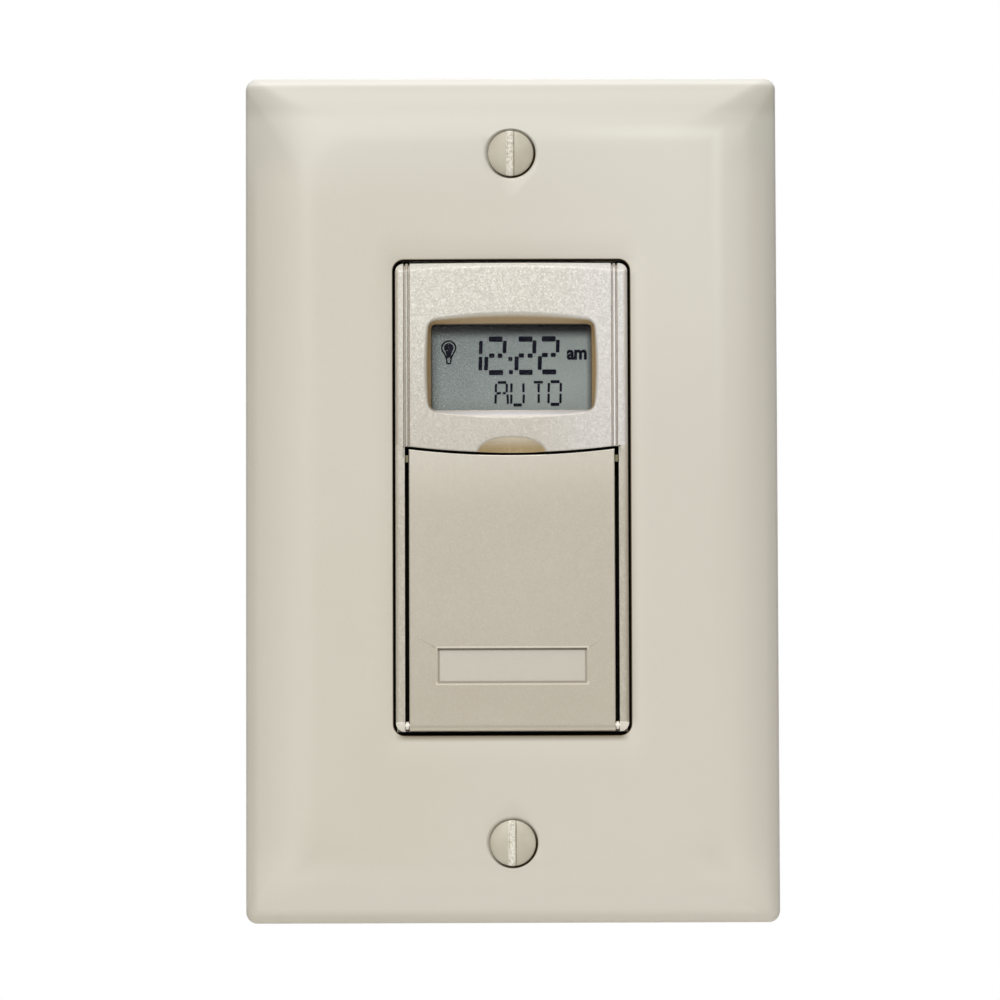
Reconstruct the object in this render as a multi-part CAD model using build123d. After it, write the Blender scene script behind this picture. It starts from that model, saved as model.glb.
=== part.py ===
from build123d import *
import os
from math import cos, radians, sin

os.makedirs("parts", exist_ok=True)

# Millimetres. X runs to the right, Z up and Y into the wall, whose face is Y = 0.
# A pair (low, high) is the span of a piece along one axis.

# front bezel
bezel_width = 32.6
bezel_height = 65.8
bezel_corner = 1.3
bezel_proud = 0.9
rail_width = 1.3
head_height = 25.75
edge_drop = 0.95
arc_r = 190.0
slope_drop = 0.55
groove_margin = (0.25, 0.65)
groove_depth = 0.45
bead_r = 0.2
flange_wide = 2.7
flange_thick = 1.0
tub_step = 0.6
deck_rise = 0.6

# wall plate; its opening clears the bezel, and its height follows from the strap
plate_depth = 6.4
plate_wall = 2.2
plate_corner = 1.6
plate_side = 13.1
plate_end = 4.3
small_arc = 1.6
large_arc = 14.0
arc_slope = 42.0
opening_gap = (0.35, 0.5)
opening_corner = 1.6
countersink_r = 3.6
screw_cone = 41.0
plate_hole_r = 2.1
boss_r = 3.2

# strap that screws to the wall box
yoke_thick = 1.3
yoke_ear_width = 36.0
yoke_past_case = 4.0
yoke_past_screw = 4.78
tub_gap = 0.2
thread_r = 1.75
neck_r = 1.5
tapped_r = 1.7
slot_r = 2.1
slot_length = 9.0
head_r = 3.2
box_screw_past = 7.67
screw_step = 6.75
box_screw_long = 21.4
ground_drop = 0.82

# rear housing
case_side = 5.95
case_end = 1.1
case_depth = 32.0
case_wall = 1.85
case_corner = 3.0
case_screw_r = 1.25
case_boss_r = 2.4
case_screw_in = (3.05, 2.8)
terminal_y = 14.0
terminal_z = 14.0
pocket = 9.6
pocket_deep = 2.95
pocket_wall = 1.7
terminal_plate = 0.9
terminal_shank_r = 1.6
terminal_head_r = 3.5

# display
window_side = 5.1
window_h = 12.05
window_rise = 11.07
recess_deep = 1.0
lens_thick = 0.4
panel_thick = 1.6
panel_margin = 2.0
pocket_gap = 0.4

# door and the frame that it hinges on
pin_r = 0.28
pin_gap = 0.05
pin_long = 2.65
barrel_r = 0.82
door_gap = (0.6, 0.48)
door_thick = 1.35
skirt_deep = 0.85
skirt_wide = 1.0
crown_r = 1200.0
tablet_w = 20.7
tablet_h = 4.7
tablet_rise = 8.35
tablet_deep = 0.25
ring_back = (3.1, 4.1)
ring_gap = 0.1
ring_wide = 1.4
lug_r = 0.55
post_r = 1.0
post_drop = 2.32
post_end = 0.95

# keys
key_proud = 2.7
key_share = 0.205
key_row_gap = 1.4
key_top_gap = 2.25
key_inner = 2.7
key_outer = 3.1
key_gap = 0.2
flange_over = 0.6
pill_r = 1.0
pill_end = 1.35
reset_r = 1.0
reset_flange_r = 1.7

# boards and battery
board_y = (2.0, 3.6)
board_in = (1.8, 1.9)
mat_thick = 0.8
power_gap = 1.8
power_thick = 1.6
power_in = (5.25, 5.0)
tray_rise = 7.8
tray_high = 4.0
tray_side = 1.4
tray_end = 1.0
cell_thick = 3.2
slot_gap = 0.2
cap_over = 1.1

# what follows from these
bezel_face = -plate_depth - bezel_proud
bezel_top = bezel_height / 2
flange_y = (-yoke_thick - flange_thick, -yoke_thick)
deck_y = -yoke_thick - deck_rise
tub_width = bezel_width - 2 * tub_step
tub_height = bezel_height - 2 * tub_step
rail_inner = bezel_width / 2 - rail_width
opening_width = bezel_width + 2 * opening_gap[0]
opening_height = bezel_height + 2 * opening_gap[1]
case_width = bezel_width + 2 * case_side
case_height = bezel_height + 2 * case_end
yoke_width = case_width
box_screw_rise = case_height / 2 + box_screw_past
plate_screw_rise = box_screw_rise + screw_step
yoke_height = 2 * (plate_screw_rise + yoke_past_screw)
plate_width = case_width + 2 * (plate_wall + plate_side)
plate_height = yoke_height + 2 * (plate_wall + plate_end)
ground_x = 0.5 - yoke_ear_width / 4
ground_z = -plate_screw_rise + ground_drop
case_screw_x = case_width / 2 - case_screw_in[0]
case_screw_z = case_height / 2 - case_screw_in[1]
pocket_floor = case_width / 2 - pocket_deep

edge_z = bezel_top - head_height
window_w = bezel_width - 2 * window_side
window_z = edge_z + window_rise
window_low = window_z - window_h / 2
window_high = window_z + window_h / 2
window_y = bezel_face + recess_deep
lens_y = (window_y + 0.4, window_y + 0.4 + lens_thick)
panel_y = (lens_y[1], lens_y[1] + panel_thick)
panel_half = window_w / 2 + panel_margin

axis_y = bezel_face + 1.0
axis_z = 0.9 - bezel_top
door_half = rail_inner - door_gap[0]
door_top = edge_z - door_gap[1]
door_drop = edge_drop * (door_half / rail_inner) ** 2
door_back = bezel_face + door_thick
skirt_back = door_back + skirt_deep
tablet_z = axis_z + tablet_rise
ring_y = (bezel_face + ring_back[0], bezel_face + ring_back[1])
ring_half = door_half - ring_gap
ring_inner = ring_half - ring_wide
ring_z = (axis_z + 1.0, door_top - 1.37)
lug_x = (door_half + 0.1, rail_inner - 0.1)
post_z = door_top - post_drop

tray_z = (axis_z + tray_rise, axis_z + tray_rise + tray_high)
key_top = bezel_face + key_proud
free_z = (tray_z[1] + cap_over, post_z - post_r)
key_w = ring_inner - key_outer - key_inner
key_h = key_share * (free_z[1] - free_z[0])
key_x = key_inner + key_w / 2
key_pitch = key_h + 2 * flange_over + key_row_gap
key_high = free_z[1] - key_top_gap - flange_over - key_h / 2
key_rows = (key_high, key_high - key_pitch)
reset_z = key_high - key_pitch / 2

board_half_w = bezel_width / 2 - board_in[0]
board_half_h = bezel_top - board_in[1]
mat_y = (board_y[0] - mat_thick, board_y[0])
power_half_w = case_width / 2 - power_in[0]
power_half_h = case_height / 2 - power_in[1]
cell_low = tray_z[1] - cell_thick
cell_r = ring_inner - 2.9
tray_half = cell_r + tray_side
cell_y = deck_y + cell_r + tray_end + 0.1
tray_back = cell_y + cell_r + tray_end
power_y = (tray_back + power_gap, tray_back + power_gap + power_thick)


def face_plane(y):
    """Plane whose local x is X and local y is Z; it looks out of the wall."""
    return Plane(origin=(0, y, 0), x_dir=(1, 0, 0), z_dir=(0, -1, 0))


def slab(outline, y):
    """Outline drawn in X and Z, made solid over the span y."""
    return extrude(face_plane(y[1]) * outline, y[1] - y[0])


def block(x, y, z):
    middle = ((x[0] + x[1]) / 2, (y[0] + y[1]) / 2, (z[0] + z[1]) / 2)
    return Pos(*middle) * Box(x[1] - x[0], y[1] - y[0], z[1] - z[0])


def rod_y(radius, x, z, y):
    return slab(Pos(x, z) * Circle(radius), y)


def rod_x(radius, y, z, x):
    disc = Plane(origin=(x[0], y, z), x_dir=(0, 1, 0), z_dir=(1, 0, 0)) * Circle(radius)
    return extrude(disc, x[1] - x[0])


def rod_z(radius, x, y, z):
    return extrude(Plane(origin=(x, y, z[0])) * Circle(radius), z[1] - z[0])


def turned(x, z, outline):
    """Solid of revolution about a Y line through x, z; the outline is (radius, y) points."""
    points = [(r, y) for r, y in outline]
    drawn = make_face(Polyline(*points, close=True))
    placed = Plane(origin=(x, 0, z), x_dir=(1, 0, 0), z_dir=(0, 0, 1)) * drawn
    return revolve(placed, Axis((x, 0, z), (0, 1, 0)), 360)


def arched(half, low, high, low_rise, high_rise):
    """Rectangle with arcs for its lower and upper edges; the rises are at the centre."""
    if low_rise:
        bottom = ThreePointArc((-half, low), (0, low + low_rise), (half, low))
    else:
        bottom = Line((-half, low), (half, low))
    sides = [
        bottom,
        Line((half, low), (half, high)),
        ThreePointArc((half, high), (0, high + high_rise), (-half, high)),
        Line((-half, high), (-half, low)),
    ]
    return make_face(sides)


def pillow_outline(half, low, high, side, end):
    """Four bowed sides between sharp corners."""
    mid = (low + high) / 2
    sides = [
        ThreePointArc((-half, low), (0, low - end), (half, low)),
        ThreePointArc((half, low), (half + side, mid), (half, high)),
        ThreePointArc((half, high), (0, high + end), (-half, high)),
        ThreePointArc((-half, high), (-half - side, mid), (-half, low)),
    ]
    return make_face(sides)


def rounded_section(half, depth, small_r, large_r, slope):
    """Section of the plate: a wall, a tight arc up to the slope, then a wide one to the top."""
    a = radians(slope)
    wall = depth - small_r * cos(a) - large_r * (1 - cos(a))
    draft = 0.04 * wall
    cx = half - draft - small_r
    knee = (cx + small_r * sin(a), -wall - small_r * cos(a))
    tx = knee[0] - large_r * sin(a)
    cy = knee[1] + large_r * cos(a)
    half_turn = radians((90 + slope) / 2)
    first = (cx + small_r * sin(half_turn), -wall - small_r * cos(half_turn))
    second = (tx + large_r * sin(a / 2), cy - large_r * cos(a / 2))
    right = [
        Line((half, 0), (half - draft, -wall)),
        ThreePointArc((half - draft, -wall), first, knee),
        ThreePointArc(knee, second, (tx, -depth)),
    ]
    left = [
        Line((-tx, -depth), (tx, -depth)),
        ThreePointArc((-tx, -depth), (-second[0], second[1]), (-knee[0], knee[1])),
        ThreePointArc((-knee[0], knee[1]), (-first[0], first[1]), (draft - half, -wall)),
        Line((draft - half, -wall), (-half, 0)),
        Line((-half, 0), (half, 0)),
    ]
    return make_face(right + left)


def pillow(half_w, half_h, depth, small_r, large_r, slope):
    """Two crossed sections, so the slopes meet in a soft mitre at the corners."""
    across = extrude(rounded_section(half_w, depth, small_r, large_r, slope), half_h, both=True)
    side = Plane(origin=(0, 0, 0), x_dir=(0, 0, 1), z_dir=(-1, 0, 0))
    up = extrude(
        side * rounded_section(half_h, depth, small_r, large_r, slope), half_w, both=True
    )
    return across & up


def wall_plate():
    w, h = plate_width / 2, plate_height / 2
    shell = pillow(w, h, plate_depth, small_arc, large_arc, arc_slope)
    shell &= slab(RectangleRounded(plate_width, plate_height, plate_corner), (-plate_depth, 0))
    deep = plate_depth - plate_wall
    tight = small_arc - 1.4
    wide = large_arc - plate_wall
    shell -= pillow(w - plate_wall, h - plate_wall, deep, tight, wide, arc_slope)
    through = (-plate_depth - 1, 1)
    shell -= slab(RectangleRounded(opening_width, opening_height, opening_corner), through)
    for z in (-plate_screw_rise, plate_screw_rise):
        shell += rod_y(boss_r, 0, z, (plate_wall - plate_depth - 0.2, -yoke_thick))
        shell -= rod_y(plate_hole_r, 0, z, through)
        drop = (countersink_r - plate_hole_r) * cos(radians(screw_cone)) / sin(radians(screw_cone))
        shell -= turned(
            0,
            z,
            [
                (0, -plate_depth - 0.5),
                (countersink_r, -plate_depth - 0.5),
                (countersink_r, -plate_depth),
                (plate_hole_r, -plate_depth + drop),
                (0, -plate_depth + drop),
            ],
        )
    return shell


def slotted_screw(z):
    """Oval-head screw with an upright slot; its head lies in the countersink."""
    rim = -plate_depth + 0.28
    tangent = sin(radians(screw_cone)) / cos(radians(screw_cone))
    shank_r = tapped_r - 0.05
    drop = (head_r - shank_r) / tangent
    arc = [(head_r * cos(radians(t)), rim - 0.72 * sin(radians(t))) for t in range(15, 90, 15)]
    outline = [(0, rim - 0.72)] + list(reversed(arc)) + [(head_r, rim), (shank_r, rim + drop)]
    outline += [(shank_r, 3.4), (shank_r - 0.55, 4.0), (0, 4.0)]
    screw = turned(0, z, outline)
    return screw - block((-0.5, 0.5), (rim - 1.0, rim + 0.75), (z - 4, z + 4))


def plate_screws():
    return Compound([slotted_screw(z) for z in (-plate_screw_rise, plate_screw_rise)])


def mounting_yoke():
    span = (-yoke_thick, 0)
    strap = slab(RectangleRounded(yoke_width, case_height + 2 * yoke_past_case, 2.0), span)
    strap += slab(RectangleRounded(yoke_ear_width, yoke_height, 4.0), span)
    through = (-yoke_thick - 1, 1)
    gap = RectangleRounded(tub_width + 2 * tub_gap, tub_height + 2 * tub_gap, 1.2)
    strap -= slab(gap, through)
    for z in (-1, 1):
        strap -= rod_y(tapped_r, 0, z * plate_screw_rise, through)
        slot = Pos(0, z * box_screw_rise) * SlotOverall(slot_length, 2 * slot_r)
        strap -= slab(slot, through)
        end = z * yoke_height / 2
        for x in (-1, 1):
            # breaking notches that let the ears be snapped off
            notch = x * (yoke_ear_width / 4 + 0.5)
            strap -= block((notch - 0.4, notch + 0.4), through, (end - 2.4, end + 2.4))
            place = Pos(x * (yoke_ear_width * 3 / 8 + 0.1), z * (plate_screw_rise - 2.0))
            strap -= slab(place * SlotOverall(yoke_ear_width / 4 - 4.0, 1.6), through)
            strap -= rod_y(case_screw_r + 0.05, x * case_screw_x, z * case_screw_z, through)
    return strap - rod_y(tapped_r, ground_x, ground_z, through)


def box_screw(z):
    under = -yoke_thick
    outline = [(0, under - 1.7), (1.5, under - 1.65), (2.6, under - 1.3), (head_r, under - 0.5)]
    outline += [(head_r, under), (neck_r, under), (neck_r, 0), (thread_r, 0)]
    outline += [(thread_r, box_screw_long - 1.0), (1.2, box_screw_long), (0, box_screw_long)]
    screw = turned(0, z, outline)
    across = head_r + 0.3
    return screw - block((-across, across), (under - 2, under - 0.75), (z - 0.45, z + 0.45))


def box_screws():
    return Compound([box_screw(z) for z in (-box_screw_rise, box_screw_rise)])


def ground_screw():
    head = slab(Pos(ground_x, ground_z) * RegularPolygon(head_r + 0.3, 6), (0, 2.4))
    head += rod_y(tapped_r - 0.05, ground_x, ground_z, (-yoke_thick - 0.6, 0))
    return head - block((ground_x - 2.2, ground_x + 2.2), (1.3, 3), (ground_z - 0.5, ground_z + 0.5))


def recess_cut():
    """The display's recess: bowed at the face, straight-sided at the window."""
    low = window_low - 0.2
    high = window_high + 0.7
    half = window_w / 2
    bowed = pillow_outline(half + 0.55, low, high, 0.5, 1.02)
    outer = face_plane(bezel_face) * bowed
    straight = pillow_outline(half - 0.02, window_low + 0.02, window_high - 0.02, 0.01, 0.01)
    cut = loft([outer, face_plane(window_y) * straight])
    cut += slab(bowed, (bezel_face - 1, bezel_face))
    window = Pos(0, window_z) * RectangleRounded(window_w, window_h, 0.5)
    return cut + slab(window, (window_y - 0.02, lens_y[0] + 0.1))


def key_places():
    """Two rows of two, round the reset."""
    return [(x * key_x, z) for z in key_rows for x in (-1, 1)]


def front_bezel():
    front = (bezel_face, flange_y[0])
    body = slab(RectangleRounded(bezel_width, bezel_height, bezel_corner), front)
    body = fillet(body.faces().sort_by(Axis.Y)[0].edges(), 0.5)
    wide = 2 * flange_wide
    body += slab(RectangleRounded(bezel_width + wide, bezel_height + wide, 2.0), flange_y)
    body += slab(RectangleRounded(tub_width, tub_height, 1.0), (flange_y[1], 0))

    # top slope: a cone about a line far below, so its lower edge is a shallow arc
    deep = -bezel_face + 0.7
    body &= turned(
        0,
        bezel_top - slope_drop - arc_r,
        [(0, bezel_face), (arc_r, bezel_face), (arc_r + deep, 0.7), (0, 0.7)],
    )

    # compartment behind the door, open at the bottom in front of the cross bar
    foot = -bezel_top - 1
    bar = axis_z + 0.6
    room = arched(rail_inner, bar - 0.1, edge_z, 0, -edge_drop)
    body -= slab(room, (bezel_face - 1, deck_y))
    body -= block((-rail_inner, rail_inner), (bezel_face - 1, axis_y + 1.4), (foot, bar))
    for x in (-1, 1):
        span = sorted((x * (door_half - 0.2), x * rail_inner))
        body -= block(span, (axis_y, ring_y[1] + 0.4), (foot, bar))

    # rails end in a slope
    wedge = Polyline(
        (bezel_face - 0.5, 1.75 - bezel_top),
        (bezel_face - 0.5, -1.1 - bezel_top),
        (bezel_face + 2.35, -1.1 - bezel_top),
        close=True,
    )
    side = Plane(origin=(-bezel_width, 0, 0), x_dir=(0, 1, 0), z_dir=(1, 0, 0))
    body -= extrude(side * make_face(wedge), 2 * bezel_width)

    # grooves with a bead between them
    outer = rail_inner + groove_margin[0]
    inner = rail_inner - groove_margin[1]
    end = bezel_top - 1.0
    for x in (-1, 1):
        span = sorted((x * inner, x * outer))
        floor = bezel_face + groove_depth
        body -= block(span, (bezel_face - 1, floor), (edge_z - edge_drop - 0.7, end))
        middle = x * (inner + outer) / 2
        body += rod_z(bead_r, middle, bezel_face + 0.28, (edge_z - 0.1, end + 0.05))
        span = (middle - 0.12, middle + 0.12)
        body += block(span, (bezel_face + 0.25, floor + 0.15), (edge_z - 0.1, end + 0.05))

    # finger notch above the door
    scoop = scale(Sphere(1), by=(4.95, 1.0, 2.35))
    body -= Pos(0, bezel_face, edge_z - edge_drop - 0.05) * scoop

    # display recess, and the pocket behind it
    body -= recess_cut()
    side = panel_half + pocket_gap
    body -= block((-side, side), (lens_y[0], 1), (window_low - 2.6, window_high + 2.75))

    # holes in the deck
    below = (deck_y - 0.5, 1)
    for x, z in key_places():
        hole = Pos(x, z) * RectangleRounded(key_w + 2 * key_gap, key_h + 2 * key_gap, 0.9)
        body -= slab(hole, below)
    body -= rod_y(reset_r + 0.25, 0, reset_z, below)
    body -= rod_y(post_r + 0.55, 0, post_z, below)
    side = tray_half + slot_gap
    body -= block((-side, side), below, (tray_z[0] - slot_gap, tray_z[1] + slot_gap))
    for x in (-1, 1):
        # blind holes for the hinge pins, and posts that the key board rests on
        body -= rod_x(pin_r + 0.01, axis_y, axis_z, sorted((x * rail_inner, x * (rail_inner + 0.7))))
        for z in (-1, 1):
            place = (x * (board_half_w - 1.6), z * (board_half_h - 1.4))
            body += rod_y(1.2, place[0], place[1], (-0.1, board_y[0]))
    return body


def display_lens():
    return block((-panel_half, panel_half), lens_y, (window_low - 1.8, window_high + 1.95))


def lcd_panel():
    middle = panel_y[0] + panel_thick / 2
    span = (-panel_half, panel_half)
    glass = block(span, (panel_y[0], middle), (window_low - 1.4, window_high + 1.55))
    return glass + block(span, (middle, panel_y[1]), (window_low - 2.2, window_high + 2.35))


def contact_strips():
    half = panel_half - 0.6
    span = (panel_y[1], board_y[0])
    low = block((-half, half), span, (window_low - 2.0, window_low - 0.4))
    high = block((-half, half), span, (window_high + 0.55, window_high + 2.15))
    return Compound([low, high])


def display_backing():
    half = panel_half - 0.6
    frame = block((-half, half), (panel_y[1], board_y[0]), (window_low, window_high + 0.15))
    hollow = (window_low + 1.2, window_high - 1.05)
    return frame - block((1.2 - half, half - 1.2), (panel_y[1] + 1.5, board_y[0] + 1), hollow)


def key_board():
    board = slab(RectangleRounded(2 * board_half_w, 2 * board_half_h, 0.8), board_y)
    gap = slot_gap + 0.3
    side = tray_half + gap
    through = (board_y[0] - 1, board_y[1] + 1)
    return board - block((-side, side), through, (tray_z[0] - gap, tray_z[1] + gap))


def keypad_mat():
    low = key_rows[1] - key_h / 2 - flange_over - 0.9
    high = post_z + 2.2
    middle = Pos(0, (low + high) / 2)
    mat = slab(middle * RectangleRounded(2 * ring_inner - 0.8, high - low, 1.5), mat_y)
    holes = [(x, z, pill_r + 0.5) for x, z in key_places()]
    holes += [(0, reset_z, reset_r + 0.3), (0, post_z, post_r + 0.7)]
    for x, z, radius in holes:
        mat -= rod_y(radius, x, z, (mat_y[0] - 1, mat_y[1] + 1))
    return mat


def lug(x):
    span = sorted((x * lug_x[0], x * lug_x[1]))
    piece = rod_x(lug_r, axis_y, axis_z, span)
    low = axis_z - 0.5
    piece += block(span, (axis_y, ring_y[1]), (low, axis_z + 0.5))
    return piece + block(span, ring_y, (low, ring_z[0] + 2.0))


def paddle_frame():
    """Ring behind the door: lugs at its foot turn on the pins, a post at its head presses."""
    ring = block((-ring_half, ring_half), ring_y, ring_z)
    room = (ring_y[0] - 1, ring_y[1] + 1)
    ring -= block((-ring_inner, ring_inner), room, (ring_z[0] + 1.8, ring_z[1] - 1.8))
    ear = ring_z[1] + 0.55
    for x in (-1, 1):
        span = sorted((x * (ring_half - 0.4), x * lug_x[1]))
        ring += lug(x)
        ring += block(span, ring_y, (ring_z[0], ring_z[0] + 2.0))
        ring += block(span, ring_y, (ring_z[1] - 1.4, ear))
        thin = sorted((x * lug_x[0], x * lug_x[1]))
        ring += block(thin, (bezel_face + 0.7, ring_y[0]), (ear - 0.95, ear))
        ring -= rod_x(pin_r + pin_gap, axis_y, axis_z, sorted((x * ring_inner, x * (rail_inner + 0.5))))
    return ring + rod_y(post_r, 0, post_z, (ring_y[1] - 0.2, post_end - 0.4))


def paddle_pill():
    return rod_y(post_r, 0, post_z, (post_end - 0.4, post_end))


def hinge_pins():
    far = rail_inner + 0.65
    left = rod_x(pin_r, axis_y, axis_z, (-far, pin_long - far))
    right = rod_x(pin_r, axis_y, axis_z, (far - pin_long, far))
    return Compound([left, right])


def door():
    foot = axis_z - barrel_r + 0.24
    leaf = slab(arched(door_half, foot, door_top, -0.24, -door_drop), (bezel_face - 0.2, door_back))
    middle = (axis_z + door_top) / 2 - 0.8
    leaf &= rod_x(crown_r, bezel_face + crown_r, middle, (-door_half - 5, door_half + 5))
    front = leaf.faces().sort_by(Axis.Y)[0]
    leaf = chamfer(front.edges(), 0.12)

    # skirts behind the edges, then the round foot that turns about the pins
    behind = (door_back - 0.3, skirt_back)
    high = door_top - door_drop - 0.6
    for x in (-1, 1):
        side = sorted((x * (door_half - skirt_wide), x * door_half))
        leaf += block(side, behind, (axis_z + 1.4, high))
    leaf += block((-door_half, door_half), behind, (high - skirt_wide, high))
    wide = (-door_half - 5, door_half + 5)
    low = axis_z - 2
    leaf -= block(wide, (bezel_face - 2, skirt_back + 1), (low, axis_z))
    leaf -= block(wide, (axis_y, skirt_back + 1), (low, axis_z + 1.3))
    across = (-door_half, door_half)
    leaf += rod_x(barrel_r, axis_y, axis_z, across)
    leaf += block(across, (axis_y - 0.6, door_back), (axis_z, axis_z + 1.6))
    hole = rail_inner + 0.65 - pin_long - 0.1
    for x in (-1, 1):
        span = sorted((x * hole, x * (door_half + 1)))
        leaf -= rod_x(pin_r + pin_gap, axis_y, axis_z, span)
    tablet = Pos(0, tablet_z) * RectangleRounded(tablet_w, tablet_h, 0.3)
    return leaf - slab(tablet, (bezel_face - 1, bezel_face + tablet_deep))


def key(x, z):
    cap = Pos(x, z) * RectangleRounded(key_w, key_h, 0.7)
    solid = slab(cap, (key_top, 0.15))
    solid = fillet(solid.faces().sort_by(Axis.Y)[0].edges(), 0.35)
    foot = RectangleRounded(key_w + 2 * flange_over, key_h + 2 * flange_over, 0.9)
    solid += slab(Pos(x, z) * foot, (0.15, 0.55))
    return solid + rod_y(pill_r, x, z, (0.5, pill_end))


def reset_key():
    solid = rod_y(reset_r, 0, reset_z, (deck_y - 0.2, 0.15))
    solid += rod_y(reset_flange_r, 0, reset_z, (0.15, 0.55))
    return solid + rod_y(reset_r - 0.2, 0, reset_z, (0.5, pill_end + 0.05))


def battery_tray():
    drawer = block((-tray_half, tray_half), (deck_y, tray_back), tray_z)
    drawer -= rod_z(cell_r + 0.15, 0, cell_y, (cell_low, tray_z[1] + 1))
    drawer -= block((-2.5, 2.5), (cell_y - 3, tray_back + 1), (tray_z[0] - 1, cell_low + 0.1))
    middle = (tray_z[0] + tray_z[1]) / 2
    cap = RectangleRounded(2 * (tray_half + cap_over), tray_high + 2 * cap_over, 0.8)
    drawer += slab(Pos(0, middle) * cap, (deck_y - 1.3, deck_y))
    return drawer - block((-4.5, 4.5), (deck_y - 2, deck_y - 0.6), (middle - 0.6, middle + 0.6))


def coin_cell():
    cell = rod_z(cell_r, 0, cell_y, (cell_low + 0.5, tray_z[1]))
    cell = fillet(cell.faces().sort_by(Axis.Z)[-1].edges(), 0.3)
    return cell + rod_z(cell_r - 1.2, 0, cell_y, (cell_low, cell_low + 0.5))


def battery_contacts():
    span = (board_y[1], power_y[0])
    top = block((-2, 2), span, (tray_z[1], tray_z[1] + 0.35))
    top += block((-2, 2), (board_y[1], board_y[1] + 0.35), (tray_z[1], tray_z[1] + 2.4))
    under = block((-1.5, 1.5), (cell_y, power_y[0]), (cell_low - 0.35, cell_low))
    return Compound([top, under])


def rear_housing():
    case = slab(RectangleRounded(case_width, case_height, case_corner), (0, case_depth))
    case = fillet(case.faces().sort_by(Axis.Y)[-1].edges(), 1.2)
    thick = 2 * case_wall
    inner = RectangleRounded(case_width - thick, case_height - thick, 1.4)
    case -= slab(inner, (-1, case_depth - case_wall))
    wall = pocket / 2 + 1.4
    half = pocket / 2
    for x in (-1, 1):
        for z in (-1, 1):
            place = (x * case_screw_x, z * case_screw_z)
            case += rod_y(case_boss_r, place[0], place[1], (0, case_depth - 1))
            outer = sorted((x * (pocket_floor - pocket_wall), x * (case_width / 2 - 0.25)))
            y = terminal_y
            level = z * terminal_z
            case += block(outer, (y - wall, y + wall), (level - wall, level + wall))
            cut = sorted((x * pocket_floor, x * (case_width / 2 + 2)))
            case -= block(cut, (y - half, y + half), (level - half, level + half))
            hole = sorted((x * (pocket_floor - pocket_wall - 1), x * (pocket_floor + 1)))
            case -= rod_x(terminal_shank_r + 0.4, y, level, hole)
            case -= rod_y(case_screw_r + 0.05, place[0], place[1], (-1, case_depth + 8))
            post = (x * (power_half_w - 4.0), z * (power_half_h - 4.0))
            case += rod_y(1.6, post[0], post[1], (power_y[1], case_depth - case_wall + 0.1))
    for z in (-1, 1):
        span = sorted((z * (case_height / 2 - 3), z * (case_height / 2 + 2)))
        for x in (-9, -3, 3, 9):
            case -= block((x - 0.7, x + 0.7), (case_depth - 17, case_depth - 6), span)
    # shallow ribs on the back
    side = case_width / 2 - 7.25
    for z in (-12, -6, 0, 6, 12):
        case += block((-side, side), (case_depth - 0.1, case_depth + 0.5), (z - 0.5, z + 0.5))
    return case


def housing_screws():
    screws = []
    top = case_depth
    tip = -yoke_thick + 0.1
    for x in (-case_screw_x, case_screw_x):
        for z in (-case_screw_z, case_screw_z):
            outline = [(0, top + 1.5), (1.4, top + 1.4), (2.2, top + 0.8), (2.3, top)]
            outline += [(case_screw_r, top), (case_screw_r, tip + 0.4), (0.8, tip), (0, tip)]
            screw = turned(x, z, outline)
            screw -= block((x - 1.3, x + 1.3), (top + 0.6, top + 2), (z - 0.3, z + 0.3))
            screw -= block((x - 0.3, x + 0.3), (top + 0.6, top + 2), (z - 1.3, z + 1.3))
            screws.append(screw)
    return Compound(screws)


def terminal_places():
    return [(x, z * terminal_z) for x in (-1, 1) for z in (-1, 1)]


def terminal_plates():
    plates = []
    half = pocket / 2 - 0.2
    far = pocket_floor + terminal_plate
    y = terminal_y
    for x, z in terminal_places():
        plate = block(sorted((x * pocket_floor, x * far)), (y - half, y + half), (z - half, z + half))
        hole = sorted((x * (pocket_floor - 1), x * (far + 1)))
        plates.append(plate - rod_x(terminal_shank_r + 0.05, y, z, hole))
    return Compound(plates)


def terminal_screw(x, z):
    under = pocket_floor + terminal_plate
    tip = pocket_floor - pocket_wall - 0.6
    screw = rod_x(terminal_shank_r, terminal_y, z, sorted((x * tip, x * under)))
    head = rod_x(terminal_head_r, terminal_y, z, sorted((x * under, x * (under + 2.1))))
    far = head.faces().sort_by(Axis.X)[-1 if x > 0 else 0]
    screw += fillet(far.edges(), 0.5)
    cut = sorted((x * (under + 1.1), x * (under + 3)))
    across = terminal_head_r + 0.5
    return screw - block(cut, (terminal_y - across, terminal_y + across), (z - 0.5, z + 0.5))


def terminal_screws():
    places = [place for place in terminal_places() if place != (1, -terminal_z)]
    return Compound([terminal_screw(x, z) for x, z in places])


def neutral_screw():
    return terminal_screw(1, -terminal_z)


def power_board():
    board = slab(RectangleRounded(2 * power_half_w, 2 * power_half_h, 1.0), power_y)
    for x, z in ((-8, 1), (8, 1), (0, -1)):
        edge = sorted((z * (power_half_h + 1), z * (power_half_h - 1.1)))
        board -= block((x - 1, x + 1), (power_y[0] - 2, power_y[1] + 2), edge)
    return board


def relay():
    x = (1.8 - power_half_w, -2.6)
    body = block(x, (power_y[0] - 15.7, power_y[0]), (power_half_h - 29.2, power_half_h - 2.2))
    return fillet(body.edges().filter_by(Axis.Y), 0.6)


def mains_transformer():
    back = power_y[0]
    top = power_half_h - 3
    core = block((1.6, power_half_w - 2.4), (back - 13, back), (top - 14.4, top))
    coil = (0.4, power_half_w - 1.2)
    return core + block(coil, (back - 11.2, back - 1.8), (top - 12, top - 2.4))


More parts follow.
